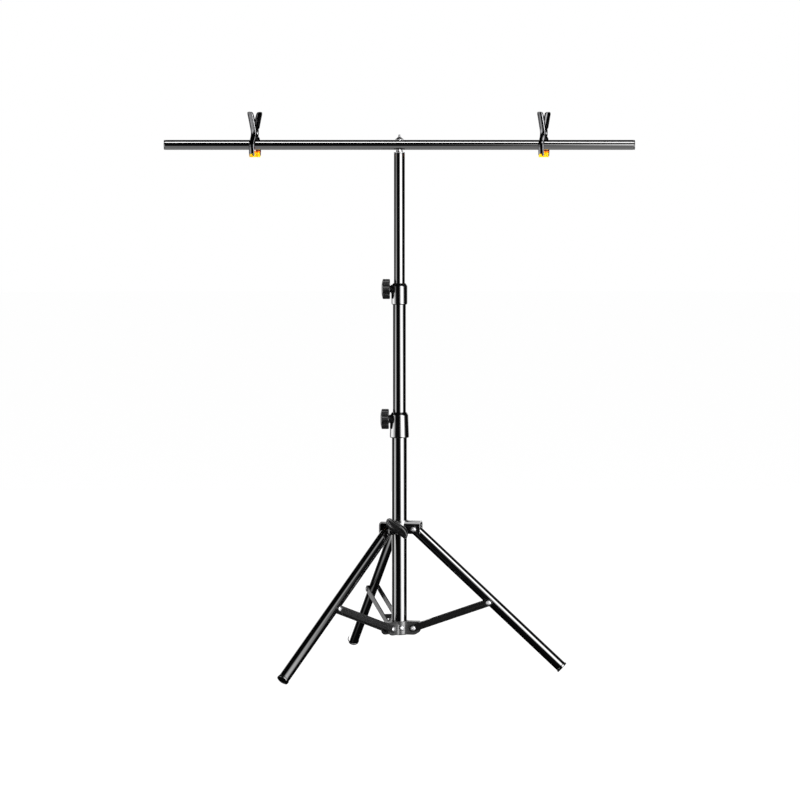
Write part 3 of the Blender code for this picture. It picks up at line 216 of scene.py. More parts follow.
# Spring clamps: u is across the bar, z is up from the bar's axis, w is along the pin
CLAMP_SIDES = ("left", "right")
CLAMP_YAW = radians(25.0)
CLAMP_HALF_WIDTH = 0.0042
CLAMP_WALL = 0.0009
CLAMP_CORNER = 0.0013
CLAMP_ARCH = 0.0010
CLAMP_PIN_RISE = 0.017
CLAMP_PIN_R = 0.00125
CLAMP_PIN_HEAD_R = 0.0022
CLAMP_PIN_HEAD = 0.0008
CLAMP_EAR_R = 0.0042
CLAMP_NESTED_EAR_R = 0.0034
CLAMP_WAIST_REACH = 0.0062
CLAMP_WAIST_FADE = 0.0022
CLAMP_HANDLE_SPREAD = 0.0180
CLAMP_HANDLE_RISE = 0.0465
CLAMP_JAW_DROP = 0.0156
CLAMP_CURVE_STEPS = 14
CLAMP_TIP_TAPER = 0.0042
CLAMP_TIP_SHARE = 0.3
PAD_THICKNESS = 0.0060
PAD_TOP = 0.0086
PAD_LIP = 0.0016
PAD_TEETH = 4
PAD_TOOTH_DEPTH = 0.00045
PAD_TAB_HALF = 0.0021
PAD_TAB_HEIGHT = 0.0032
PAD_TAB_PROUD = 0.0006
SPRING_WIRE_R = 0.00035
SPRING_PITCH = 0.00115
SPRING_TURNS = 2.5
SPRING_POINTS_PER_TURN = 24
SPRING_LEG_RISE = 0.013
SPRING_LEG_POINTS = 8
SPRING_PIN_GAP = 0.0004
SPRING_OVERLAP_TURN = 0.12

# Handle's side view from tip to pin: shares of its spread and of its rise, depth of the flanges
HANDLE_POINTS = ((1.0, 1.0, 0.0030), (0.66, 0.70, 0.0046), (0.30, 0.36, 0.0046), (0.04, 0.10, 0.0046))

# Jaw's side view from the waist down: reach from the waist, setback from there, z, depth of the flanges
JAW_POINTS = (
    (0, 0, CLAMP_PIN_RISE - 0.0025, 0.0046), (0.0025, 0, 0.0085, 0.0024), (0.0066, 0.0006, 0.0029, 0.0024),
    (0.0066, 0, -0.0020, 0.0024), (0.0066, 0.0004, -0.0080, 0.0024),
    (0.0066, 0.0012, -CLAMP_JAW_DROP, 0.0031),
)


def half_width(node):
    low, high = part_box(node)
    return (high.x - low.x) / 2


# Places that follow from the frame
COLUMN_Y = (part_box("lower_tube")[0].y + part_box("lower_tube")[1].y) / 2
LEG_PIVOT_Z = JOINT_POS["leg_right_fold"][2]
HUB_PIVOT_Z = JOINT_POS["strut_right_fold"][2]
HUB_BOTTOM_Z = HUB_PIVOT_Z - HUB_HEIGHT / 2
HUB_TOP_Z = HUB_PIVOT_Z + HUB_HEIGHT / 2
BAR_Z = JOINT_POS["clamp_left_slide"][2]
COLLAR_GAP_HALF = LEG_R + CLEAR
COLLAR_ARM_HALF = COLLAR_GAP_HALF + COLLAR_EAR_WALL
RAIL_INNER = max(LEG_R, HUB_ARM_HALF_WIDTH) + CLEAR
RAIL_OUTER = RAIL_INNER + RAIL_WALL
LOWER_TUBE_R = half_width("lower_tube")
MIDDLE_TUBE_R = half_width("middle_tube")
TOP_TUBE_R = half_width("top_tube")
BAR_R = (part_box("crossbar")[1].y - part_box("crossbar")[0].y) / 2
HUB_RING_R = LOWER_TUBE_R + CLEAR + HUB_RING_WALL
COLLAR_TOP_R = {"lower_collar": 0.01295, "upper_collar": half_width("upper_collar")}


def spin(angle, axis):
    return Matrix.Rotation(angle, 4, axis)


def raised(place, height, radius=0.0):
    return place @ Matrix.Translation((radius, 0, height))


COLUMN = Matrix.Translation((0, COLUMN_Y, 0))
TURN_TO_X = spin(pi / 2, "Y")
TURN_TO_Y = spin(pi / 2, "X")
PROFILE_IN_YZ = spin(pi / 2, "Z") @ TURN_TO_Y


def arm_place(index):
    return COLUMN @ spin(RIGHT_LEG_AZIMUTH + index * LEG_SPACING, "Z")


def assign(thing, **values):
    for name, value in values.items():
        setattr(thing, name, value)
    return thing


# Materials
def feed(tree, node, values):
    """Sets the named inputs, or links them where the value is another node's output."""
    for name, value in values.items():
        if isinstance(value, bpy.types.NodeSocket):
            tree.links.new(value, node.inputs[name])
        else:
            node.inputs[name].default_value = value


def add_node(tree, kind, values=(), **settings):
    node = assign(tree.nodes.new("ShaderNode" + kind), **settings)
    feed(tree, node, dict(values))
    return node


def calculated(tree, operation, first, second):
    return add_node(tree, "Math", {0: first, 1: second}, operation=operation).outputs[0]


def ramp(tree, source, stops):
    """Colour ramp over a value, given as (position, colour) stops."""
    node = add_node(tree, "ValToRGB", {"Fac": source})
    elements = node.color_ramp.elements
    while len(elements) < len(stops):
        elements.new(0.5)
    for element, (position, colour) in zip(elements, stops):
        element.position = position
        element.color = (*colour, 1.0)
    return node.outputs["Color"]


def spread_over(tree, source, low, high, start=0.3, end=0.7, **settings):
    """Value between low and high as the source goes from start to end."""
    values = {"Value": source, "From Min": start, "From Max": end, "To Min": low, "To Max": high}
    return add_node(tree, "MapRange", values, **settings).outputs["Result"]


def noise(tree, scale, detail=4.0, stretch=(1, 1, 1)):
    """Noise in the piece's own space, scale in features per metre."""
    place = add_node(tree, "TexCoord").outputs["Object"]
    spot = add_node(tree, "Mapping", {"Vector": place, "Scale": stretch}).outputs["Vector"]
    return add_node(tree, "TexNoise", {"Vector": spot, "Scale": scale, "Detail": detail}).outputs["Fac"]


def greys(tree, scale, dark, light, edge=None):
    """Clouded grey between two shades, with a third shade where sharp edges are worn."""
    colour = ramp(tree, noise(tree, scale), [(0.3, (dark[0], *dark)), (0.7, (light[0], *light))])
    if not edge:
        return colour
    shade, blue, start, end = edge
    bend = add_node(tree, "NewGeometry").outputs["Pointiness"]
    share = spread_over(tree, bend, 0.0, 1.0, start, end)
    values = {"Factor": share, "A": colour, "B": (shade, shade, blue, 1.0)}
    return add_node(tree, "Mix", values, data_type="RGBA").outputs["Result"]


def amber(tree):
    """Yellow that deepens to red towards the pad's upper edge."""
    place = add_node(tree, "TexCoord").outputs["Object"]
    height = add_node(tree, "SeparateXYZ", {"Vector": place}).outputs["Y"]
    rise = spread_over(tree, height, 0.0, 0.95, -CLAMP_JAW_DROP, -PAD_TOP)
    cloud = spread_over(tree, noise(tree, 420.0, 3.0), -0.10, 0.10)
    return ramp(tree, calculated(tree, "ADD", rise, cloud), [
        (0.0, (1.0, 0.50, 0.004)), (0.45, (1.0, 0.62, 0.010)),
        (0.80, (1.0, 0.24, 0.003)), (0.95, (0.90, 0.03, 0.002)),
    ])


# Each finish: slot, roughness, other sockets, colour, noise and range of the roughness, noise and depth of
# the bump. Shades are given with their blue, a worn edge's shade also with its range of bend, and a noise
# as scale, detail and stretch.
COATED = {"Coat Weight": 1.0, "Coat IOR": 2.0, "Specular IOR Level": 1.0}
METAL = {"Metallic": 1.0}
PAD_SOCKETS = {
    "Subsurface Weight": 0.25, "Subsurface Scale": 0.002, "Subsurface Radius": (1.0, 0.35, 0.05),
    "Specular IOR Level": 0.2,
}
FINISHES = (
    # Black stove enamel on drawn tube: faint orange peel and lengthwise drawing lines
    ("black_gloss_paint", 0.13, {**COATED, "Coat Roughness": 0.05},
     (greys, 60.0, (0.0006, 0.0007), (0.0014, 0.0016), (0.008, 0.009, 0.56, 0.70)),
     (900.0, 2.0, (1, 1, 0.02)), (0.06, 0.13), (1400.0, 2.0), 0.000001),
    # Polished black moulded plastic with a trace of flow marks
    ("black_gloss_plastic", 0.15, {**COATED, "Coat Roughness": 0.07},
     (greys, 90.0, (0.0009, 0.0010), (0.0020, 0.0022), (0.010, 0.011, 0.54, 0.66)),
     (260.0,), (0.12, 0.20), (700.0, 3.0), 0.000002),
    # Dark grey knob plastic with a fine spark-eroded grain
    ("dark_satin_plastic", 0.32, {"Specular IOR Level": 0.8},
     (greys, 150.0, (0.0050, 0.0052), (0.0090, 0.0093), (0.03, 0.03, 0.52, 0.62)),
     (500.0,), (0.22, 0.32), (2600.0, 2.0), 0.000002),
    # Dark grey baked paint on pressed steel
    ("dark_satin_paint", 0.3, {"Specular IOR Level": 0.9},
     (greys, 70.0, (0.0065, 0.0067), (0.0095, 0.0098), (0.05, 0.05, 0.54, 0.68)),
     (300.0,), (0.25, 0.31), (1800.0, 3.0), 0.000006),
    # Plated steel with fine turning marks
    ("bright_steel", 0.25, METAL, (greys, 220.0, (0.54, 0.55), (0.70, 0.71)),
     (1500.0, 3.0, (1, 1, 6)), (0.38, 0.52), (1500.0, 3.0, (1, 1, 6)), 0.000004),
    # Plain grey nylon of the bushes and the bottom plug
    ("grey_inner_plastic", 0.55, {}, (greys, 180.0, (0.085, 0.086), (0.125, 0.127)),
     (420.0,), (0.48, 0.62), (1500.0, 2.0), 0.00002),
    # Dark nickel plate on pressed steel, polished, with rubbed edges
    ("clamp_black_nickel", 0.14, METAL,
     (greys, 260.0, (0.13, 0.134), (0.20, 0.205), (0.45, 0.45, 0.55, 0.68)),
     (700.0,), (0.08, 0.2), (900.0, 2.0), 0.000004),
    # Drawn spring wire
    ("spring_steel", 0.28, METAL, (greys, 600.0, (0.42, 0.43), (0.6, 0.61)),
     (600.0,), (0.2, 0.36), (2500.0, 2.0), 0.00001),
    # Soft translucent plastic of the jaw pads
    ("amber_soft_plastic", 0.35, PAD_SOCKETS, (amber,),
     (800.0,), (0.28, 0.45), (1600.0, 2.0), 0.00003),
)


def new_material(name, sockets):
    material = bpy.data.materials.new(name)
    material.use_nodes = True
    shader = material.node_tree.nodes["Principled BSDF"]
    feed(material.node_tree, shader, sockets)
    return material, material.node_tree, shader


def make_finish(slot, roughness, sockets, colour, shine, shine_range, grain, depth):
    material, tree, shader = new_material(slot + "_look", {"Roughness": roughness, **sockets})
    paint, *settings = colour
    height = noise(tree, *grain)
    feed(tree, shader, {
        "Base Color": paint(tree, *settings),
        "Roughness": spread_over(tree, noise(tree, *shine), *shine_range),
        "Normal": add_node(tree, "Bump", {"Strength": 1.0, "Distance": depth, "Height": height}).outputs[0],
    })
    MATERIALS[slot] = material


for finish in FINISHES:
    make_finish(*finish)


# Outlines and paths
def rounded(points, radius, steps=ARC_STEPS, closed=False):
    """Outline with its corners turned into arcs, no wider than its sides allow."""
    result = []
    count = len(points)
    for index, corner in enumerate(points):
        at_end = not closed and index in (0, count - 1)
        spot = Vector(corner)
        back = Vector(points[index - 1]) - spot
        ahead = Vector(points[(index + 1) % count]) - spot
        half = back.angle(ahead, pi) / 2
        if at_end or radius <= 0 or half > radians(88):
            result.append(tuple(spot))
            continue
        reach = min(radius / tan(half), back.length * 0.49, ahead.length * 0.49)
        true_radius = reach * tan(half)
        away = (back.normalized() + ahead.normalized()).normalized()
        centre = spot + away * (true_radius / sin(half))
        start = spot + back.normalized() * reach - centre
        end = spot + ahead.normalized() * reach - centre
        swing = start.angle(end)
        for step in range(steps + 1):
            share = step / steps
            arm = start * sin((1 - share) * swing) + end * sin(share * swing)
            result.append(tuple(centre + arm / sin(swing)))
    return result


def arc(centre, radius, start, end, steps):
    """Points of a circle's arc in a plane, both ends included."""
    points = []
    for index in range(steps + 1):
        angle = start + (end - start) * index / steps
        points.append((centre[0] + radius * cos(angle), centre[1] + radius * sin(angle)))
    return points


def smooth_path(knots, steps):
    """Curve through the knots, evenly weighted, with the given steps to each span."""
    points = []
    last = len(knots) - 1
    for index in range(last):
        span = [knots[min(max(index + offset, 0), last)] for offset in (-1, 0, 1, 2)]
        for step in range(steps):
            t = step / steps
            spot = []
            for a, b, c, d in zip(*span):
                bend = 2 * b + (c - a) * t + (2 * a - 5 * b + 4 * c - d) * t ** 2
                spot.append((bend + (3 * b - a - 3 * c + d) * t ** 3) / 2)
            points.append(tuple(spot))
    points.append(tuple(knots[last]))
    return points


# Meshes
def add_object(name, data):
    item = bpy.data.objects.new(name, data)
    bpy.context.scene.collection.objects.link(item)
    return item


def add_piece(name, build, place):
    bmesh.ops.recalc_face_normals(build, faces=build.faces)
    mesh = bpy.data.meshes.new(name)
    build.to_mesh(mesh)
    build.free()
    item = add_object(name, mesh)
    item.matrix_world = place
    return item


def bridge(build, upper, lower):
    """Quads or triangles between two rings, one of which may be a single point."""
    count = max(len(upper), len(lower))
    for index in range(count):
        after = (index + 1) % count
        corners = [
            upper[index % len(upper)], upper[after % len(upper)],
            lower[after % len(lower)], lower[index % len(lower)],
        ]
        unique = list(dict.fromkeys(corners))
        if len(unique) > 2:
            build.faces.new(unique)


def lathe(name, profile, place, steps=ROUND_STEPS, radius_at=None):
    """Profile of (radius, height) turned about local Z; radius_at may shape each ring."""
    build = bmesh.new()
    rings = []
    for radius, height in profile:
        if radius < CLEAR / 100:
            rings.append([build.verts.new((0, 0, height))])
            continue
        ring = []
        for index in range(steps):
            angle = tau * index / steps
            reach = radius_at(radius, height, angle) if radius_at else radius
            ring.append(build.verts.new((reach * cos(angle), reach * sin(angle), height)))
        rings.append(ring)
    for upper, lower in zip(rings, rings[1:]):
        bridge(build, upper, lower)
    if len(rings[0]) > 1:
        bridge(build, rings[-1], rings[0])
    return add_piece(name, build, place)


def stack(name, layers, place):
    """Solid through outlines of as many points each, given with their heights along local Z."""
    build = bmesh.new()
    rings = [[build.verts.new((x, y, height)) for x, y in outline] for outline, height in layers]
    build.faces.new(rings[0])
    build.faces.new(rings[-1])
    for lower, upper in zip(rings, rings[1:]):
        bridge(build, lower, upper)
    return add_piece(name, build, place)


def slab(name, outline, half, place):
    """Flat outline in local XY, as thick as twice half along local Z."""
    return stack(name, [(outline, -half), (outline, half)], place)


def rod(radius, length, place, steps=SMALL_STEPS):
    """Plain cylinder about local Z, centred, as a tool for cutting or joining."""
    half = length / 2
    return lathe("tool", [(0, half), (radius, half), (radius, -half), (0, -half)], place, steps)


def block(size, place):
    x, y = size[0] / 2, size[1] / 2
    return slab("tool", [(-x, -y), (x, -y), (x, y), (-x, y)], size[2] / 2, place)


def combine(target, tool, operation):
    step = target.modifiers.new("combine", "BOOLEAN")
    assign(step, operation=operation, solver="EXACT", object=tool)
    tool["tool_of"] = target.name


def cut(target, tool):
    combine(target, tool, "DIFFERENCE")


def join(target, tool):
    combine(target, tool, "UNION")


def settle(item):
    """Modifiers applied to the mesh, and the tools that they used removed."""
    bpy.context.view_layer.update()
    shape = item.evaluated_get(bpy.context.evaluated_depsgraph_get())
    mesh = bpy.data.meshes.new_from_object(shape)
    item.modifiers.clear()
    item.data = mesh
    for tool in [other for other in bpy.data.objects if other.get("tool_of") == item.name]:
        bpy.data.objects.remove(tool, do_unlink=True)
    return item


def soften(item, width, segments=3, angle=radians(35.0)):
    """Rounded edges on a cut or joined solid."""
    settle(item)
    build = bmesh.new()
    build.from_mesh(item.data)
    bmesh.ops.remove_doubles(build, verts=build.verts, dist=0.00001)
    bmesh.ops.dissolve_degenerate(build, edges=build.edges, dist=0.00001)
    build.to_mesh(item.data)
    build.free()
    assign(
        item.modifiers.new("edges", "BEVEL"), width=width, segments=segments, limit_method="ANGLE",
        angle_limit=angle, use_clamp_overlap=True, miter_outer="MITER_ARC",
    )
    return settle(item)


def dress(item, node=None, body=None, slot=None):
    """The piece's finish, its body and the CAD node that it stands for."""
    slot = slot or NODE_SLOT[node]
    if item.type == "MESH":
        item.data.shade_smooth()
        item.data.set_sharp_from_angle(angle=SMOOTH_ANGLE)
        assign(item.modifiers.new("even_shading", "WEIGHTED_NORMAL"), keep_sharp=True, weight=60)
    item.data.materials.clear()
    item.data.materials.append(MATERIALS[slot])
    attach(item, body or NODE_BODY[node])
    if node:
        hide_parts(node)
    return item


def turned(node, profile, place, steps=ROUND_STEPS, radius_at=None):
    """Finished piece that needs no more than its profile turned."""
    dress(lathe(node + "_fine", profile, place, steps, radius_at), node)


# Telescopic column
def tube_profile(outer, wall, low, high):
    inner = outer - wall
    return rounded([(outer, high), (outer, low), (inner, low), (inner, high)], LIP_ROUND, closed=True)


def hub_screw_place():
    """Axis of the screw that holds the hub to the column, pointing outwards."""
    return raised(COLUMN, HUB_PIVOT_Z) @ spin(RIGHT_LEG_AZIMUTH - LEG_SPACING / 2, "Z") @ TURN_TO_X


def hub_screw_bore():
    length = 2 * (HUB_SCREW_LENGTH + CLEAR)
    return rod(HUB_SCREW_R + CLEAR, length, raised(hub_screw_place(), HUB_RING_R + CLEAR))


def make_column():
    for node in ("lower_tube", "middle_tube", "top_tube"):
        low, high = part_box(node)
        profile = tube_profile(half_width(node), TUBE_WALL, low.z, high.z)
        tube = lathe(node + "_fine", profile, COLUMN, TUBE_STEPS)
        if node == "lower_tube":
            cut(tube, hub_screw_bore())
        dress(settle(tube), node)
    for node, tube_r in (("middle_bush", MIDDLE_TUBE_R), ("top_bush", TOP_TUBE_R)):
        low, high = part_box(node)
        rim_r = half_width(node)
        spigot_r = tube_r - TUBE_WALL - CLEAR
        seat = high.z - BUSH_SPIGOT_LENGTH - CLEAR
        turned(node, rounded([
            (spigot_r, high.z), (spigot_r, seat), (rim_r, seat), (rim_r, low.z),
            (spigot_r - BUSH_WALL, low.z), (spigot_r - BUSH_WALL, high.z),
        ], LIP_ROUND, closed=True), COLUMN)
    low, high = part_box("bottom_plug")
    rim = low.z + PLUG_RIM
    plug_r = LOWER_TUBE_R - TUBE_WALL - CLEAR
    plug = rounded([
        (0, high.z), (plug_r, high.z), (plug_r, rim), (LOWER_TUBE_R, rim), (LOWER_TUBE_R, low.z),
        (PLUG_BORE_R, low.z), (PLUG_BORE_R, low.z + PLUG_BORE_DEPTH), (0, low.z + PLUG_BORE_DEPTH),
    ], LIP_ROUND)
    body = lathe("bottom_plug_fine", plug, COLUMN)
    cut(body, hub_screw_bore())
    dress(settle(body), "bottom_plug")


def make_lock_collar(node, knob, tube_node, inner_node):
    low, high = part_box(node)
    bottom_r = half_width(node)
    wide = half_width(tube_node) + CLEAR
    narrow = half_width(inner_node) + CLEAR
    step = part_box(tube_node)[1].z + CLEAR
    outside = rounded([
        (narrow, high.z), (narrow + COLLAR_LIP, high.z), (COLLAR_TOP_R[node], high.z - COLLAR_SHOULDER),
        (bottom_r, low.z + COLLAR_FOOT_CHAMFER), (bottom_r - COLLAR_FOOT_CHAMFER, low.z), (wide, low.z),
    ], COLLAR_ROUND)
    profile = outside[1:-1] + [(wide, low.z), (wide, step), (narrow, step), (narrow, high.z)]
    collar = lathe(node + "_fine", profile, COLUMN, TUBE_STEPS)
    side = raised(COLUMN, JOINT_POS[knob + "_turn"][2]) @ spin(-pi / 2, "Y")
    boss = raised(side, (bottom_r + narrow) / 2 + LOCK_BOSS_PROUD - CLEAR)
    join(collar, rod(LOCK_BOSS_R, bottom_r - narrow, boss))
    cut(collar, rod(LOCK_SCREW_R + CLEAR, bottom_r, raised(side, narrow - MARGIN + bottom_r / 2)))
    cut(collar, rod(narrow, high.z - low.z + MARGIN, raised(COLUMN, (low.z + high.z) / 2), TUBE_STEPS))
    dress(soften(collar, 0.0003), node)


def star_radius(radius, height, angle):
    """Six wide lobes with narrow flutes, fading out where the knob narrows to its neck."""
    dip = 1 - abs(cos(angle * KNOB_LOBES / 2))
    share = min(1.0, max(0.0, (radius - KNOB_NECK_R) / (KNOB_R - KNOB_NECK_R)))
    return radius - KNOB_LOBE_DEPTH * dip * share ** 0.7


def make_star_knob(node, collar, inner_r):
    knob_z = JOINT_POS[node + "_turn"][2]
    place = raised(COLUMN, knob_z) @ spin(-pi / 2, "Y") @ spin(pi / 2, "Z")
    low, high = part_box(collar)
    share = (knob_z - low.z) / (high.z - low.z)
    neck = half_width(collar) + (COLLAR_TOP_R[collar] - half_width(collar)) * share + CLEAR
    face = neck + KNOB_NECK_LENGTH
    crown = face + KNOB_THICKNESS
    shoulder = crown - KNOB_DOME
    bore = LOCK_SCREW_R + CLEAR
    blind = face + KNOB_BORE_DEPTH
    outline = [
        (0, crown - 0.0002), (KNOB_CAP_R - 0.0005, crown - 0.0003), (KNOB_CAP_R, crown - 0.0008),
        (KNOB_CAP_R + 0.0006, crown - 0.0004), (KNOB_R * 0.72, shoulder + KNOB_DOME * 0.55),
        (KNOB_R, shoulder), (KNOB_R, face + 0.0004), (KNOB_R - 0.0016, face), (KNOB_NECK_R, face),
        (KNOB_NECK_R, neck), (bore, neck), (bore, blind), (0, blind),
    ]
    turned(node, rounded(outline, 0.0011), place, KNOB_STEPS, star_radius)
    tip = inner_r + CLEAR
    screw = [(0, blind - CLEAR), (LOCK_SCREW_R, blind - CLEAR), (LOCK_SCREW_R, tip), (0, tip)]
    turned(node + "_screw", rounded(screw, 0.0008), place)


# Rivets and screws
def rivet_profile(shank_r, head_r, seat, head):
    """Half of a rivet from its dimpled dome down to its seat."""
    top = seat + head
    rim = seat + min(RIVET_RIM, head * 0.5)
    dimple = min(RIVET_DIMPLE_R, head_r * 0.3)
    return [
        (0, top - dimple * 0.35), (dimple * 0.7, top - dimple * 0.3), (dimple, top),
        (head_r * 0.55, top - head * 0.12), (head_r * 0.80, rim + head * 0.18),
        (head_r * 0.86, rim), (head_r, rim - head * 0.08), (head_r, seat), (shank_r, seat),
    ]


def make_rivet(node, shank_r, inner, place, head_r=RIVET_HEAD_R, head=RIVET_HEAD):
    half = rivet_profile(shank_r, head_r, inner + CLEAR, head)
    whole = half + [(radius, -height) for radius, height in reversed(half)]
    turned(node, rounded(whole, RIVET_EDGE, 3), place, SMALL_STEPS)


# Fixed hub at the foot of the column
def hub_outline(inset=0.0):
    """Three arms with concave fillets between them, seen from above, drawn in by the inset."""
    half = HUB_ARM_HALF_WIDTH - inset
    fillet = HUB_FILLET_R + inset
    reach = HUB_REACH + MARGIN
    spread = LEG_SPACING / 2
    away = (half + fillet) / sin(spread)
    points = []
    for index in range(len(LEG_NAMES)):
        azimuth = index * LEG_SPACING
        turn = (cos(azimuth), sin(azimuth))
        for side in (-half, half):
            points.append((reach * turn[0] - side * turn[1], reach * turn[1] + side * turn[0]))
        middle = azimuth + spread
        centre = (away * cos(middle), away * sin(middle))
        swing = pi / 2 - spread
        points += arc(centre, fillet, middle + pi + swing, middle + pi - swing, 24)
    return points


def make_hub():
    half = HUB_HEIGHT / 2
    centre = raised(arm_place(0), HUB_PIVOT_Z)
    top = hub_outline(HUB_SHOULDER_INSET)
    body = stack("hub_fine", [
        (hub_outline(), -half - MARGIN), (hub_outline(), half - HUB_SHOULDER_DROP), (top, half),
        (top, half + MARGIN),
    ], centre)
    join(body, rod(HUB_RING_R, HUB_HEIGHT + MARGIN, centre, TUBE_STEPS))
    corner = (HUB_REACH - HUB_CORNER_R, HUB_BOTTOM_Z + HUB_CORNER_R)
    web_bottom = HUB_BOTTOM_Z + HUB_WEB_RISE
    limit = [(0, HUB_TOP_Z), (HUB_REACH - HUB_TOP_WALL, HUB_TOP_Z), (HUB_REACH, HUB_TOP_Z - HUB_TOP_WALL)]
    limit += arc(corner, HUB_CORNER_R, 0, -pi / 2, 14)
    limit += [(HUB_RING_R + 2 * HUB_WEB_RISE, HUB_BOTTOM_Z), (HUB_RING_R, web_bottom), (0, web_bottom)]
    combine(body, lathe("tool", limit, COLUMN, 2 * TUBE_STEPS), "INTERSECT")
    cut(body, rod(LOWER_TUBE_R + CLEAR, HUB_HEIGHT + 2 * MARGIN, centre, TUBE_STEPS))
    seat = HUB_RING_R + CLEAR
    length = HUB_REACH - seat + MARGIN
    height = HUB_HEIGHT - HUB_TOP_WALL + MARGIN
    for index, name in enumerate(LEG_NAMES):
        arm = arm_place(index)
        cut(body, block(
            (length, 2 * (HUB_ARM_HALF_WIDTH - HUB_EAR_WALL), height),
            raised(arm, HUB_TOP_Z - HUB_TOP_WALL - height / 2, seat + length / 2),
        ))
        pivot = raised(arm, HUB_PIVOT_Z, HUB_PIVOT_RADIUS) @ TURN_TO_Y
        cut(body, rod(HUB_RIVET_R + CLEAR, 4 * HUB_ARM_HALF_WIDTH, pivot))
        cut(body, rod(HUB_TOP_HOLE_R, 4 * HUB_TOP_WALL, raised(arm, HUB_TOP_Z, HUB_TOP_HOLE_RADIUS)))
        make_rivet("hub_rivet_" + name, HUB_RIVET_R, RAIL_OUTER, pivot)
    cut(body, hub_screw_bore())
    dress(soften(body, 0.00035), "hub")
    top = seat + HUB_SCREW_HEAD
    tip = seat - HUB_SCREW_LENGTH
    outline = [
        (0, top), (HUB_SCREW_HEAD_R * 0.55, top - 0.0001), (HUB_SCREW_HEAD_R, top - 0.0009),
        (HUB_SCREW_HEAD_R, seat), (HUB_SCREW_R, seat), (HUB_SCREW_R, tip), (0, tip),
    ]
    screw = lathe("hub_screw_fine", rounded(outline, 0.0004), hub_screw_place(), SMALL_STEPS)
    recess = HUB_SCREW_HEAD_R * HUB_SCREW_RECESS
    head = raised(hub_screw_place(), top)
    for quarter in (0, pi / 2):
        cut(screw, block((2.6 * recess, 0.7 * recess, 0.002), head @ spin(quarter, "Z")))
    cut(screw, rod(recess * 0.95, 0.0030, head, 24))
    dress(settle(screw), "hub_screw")


# Leg collar that slides on the lower tube
def arm_section(half, low, high, corner):
    """Section across an arm, with both of its upper edges rounded."""
    points = [(-half, low), (half, low)]
    points += arc((half - corner, high - corner), corner, 0, pi / 2, 12)
    points += arc((corner - half, high - corner), corner, pi / 2, pi, 12)
    return points


def make_leg_collar():
    height = COLLAR_TOP + COLLAR_BOTTOM + 2 * CLEAR
    low = LEG_PIVOT_Z - COLLAR_BOTTOM - CLEAR
    sleeve = [(0, low + height), (SLEEVE_R, low + height), (SLEEVE_R, low), (0, low)]
    body = lathe("leg_collar_fine", sleeve, arm_place(0), TUBE_STEPS)
    lock = raised(COLUMN, LEG_PIVOT_Z + COLLAR_LOCK_RISE) @ spin(COLLAR_LOCK_AZIMUTH, "Z") @ TURN_TO_X
    section = arm_section(COLLAR_ARM_HALF, -COLLAR_BOTTOM, COLLAR_TOP, COLLAR_EDGE_ROUND)
    middle = COLLAR_ARM_REACH / 2
    for index in range(len(LEG_NAMES)):
        place = raised(arm_place(index), LEG_PIVOT_Z, middle) @ PROFILE_IN_YZ
        join(body, slab("tool", section, middle, place))
    join(body, rod(COLLAR_BOSS_R, COLLAR_BOSS_REACH, raised(lock, COLLAR_BOSS_REACH / 2), ROUND_STEPS))
    gap = arm_section(
        COLLAR_GAP_HALF, -COLLAR_BOTTOM - MARGIN, COLLAR_TOP - COLLAR_TOP_WALL,
        COLLAR_EDGE_ROUND - COLLAR_EAR_WALL,
    )
    gap_start = SLEEVE_R - CLEAR
    gap_length = COLLAR_ARM_REACH - gap_start + MARGIN
    middle = gap_start + gap_length / 2
    for index, name in enumerate(LEG_NAMES):
        arm = arm_place(index)
        cut(body, slab("tool", gap, gap_length / 2, raised(arm, LEG_PIVOT_Z, middle) @ PROFILE_IN_YZ))
        pivot = raised(arm, LEG_PIVOT_Z, LEG_PIVOT_RADIUS) @ TURN_TO_Y
        cut(body, rod(LEG_RIVET_R + CLEAR, 4 * COLLAR_ARM_HALF, pivot))
        make_rivet("leg_rivet_" + name, LEG_RIVET_R, COLLAR_ARM_HALF, pivot)
    bore = raised(arm_place(0), low + height / 2)
    cut(body, rod(LOWER_TUBE_R + CLEAR, height + 2 * MARGIN, bore, TUBE_STEPS))
    screw = raised(lock, LOWER_TUBE_R - MARGIN + COLLAR_BOSS_REACH / 2)
    cut(body, rod(WING_SCREW_R + CLEAR, COLLAR_BOSS_REACH, screw))
    dress(soften(body, 0.0005), "leg_collar")
    make_wing_knob(lock)


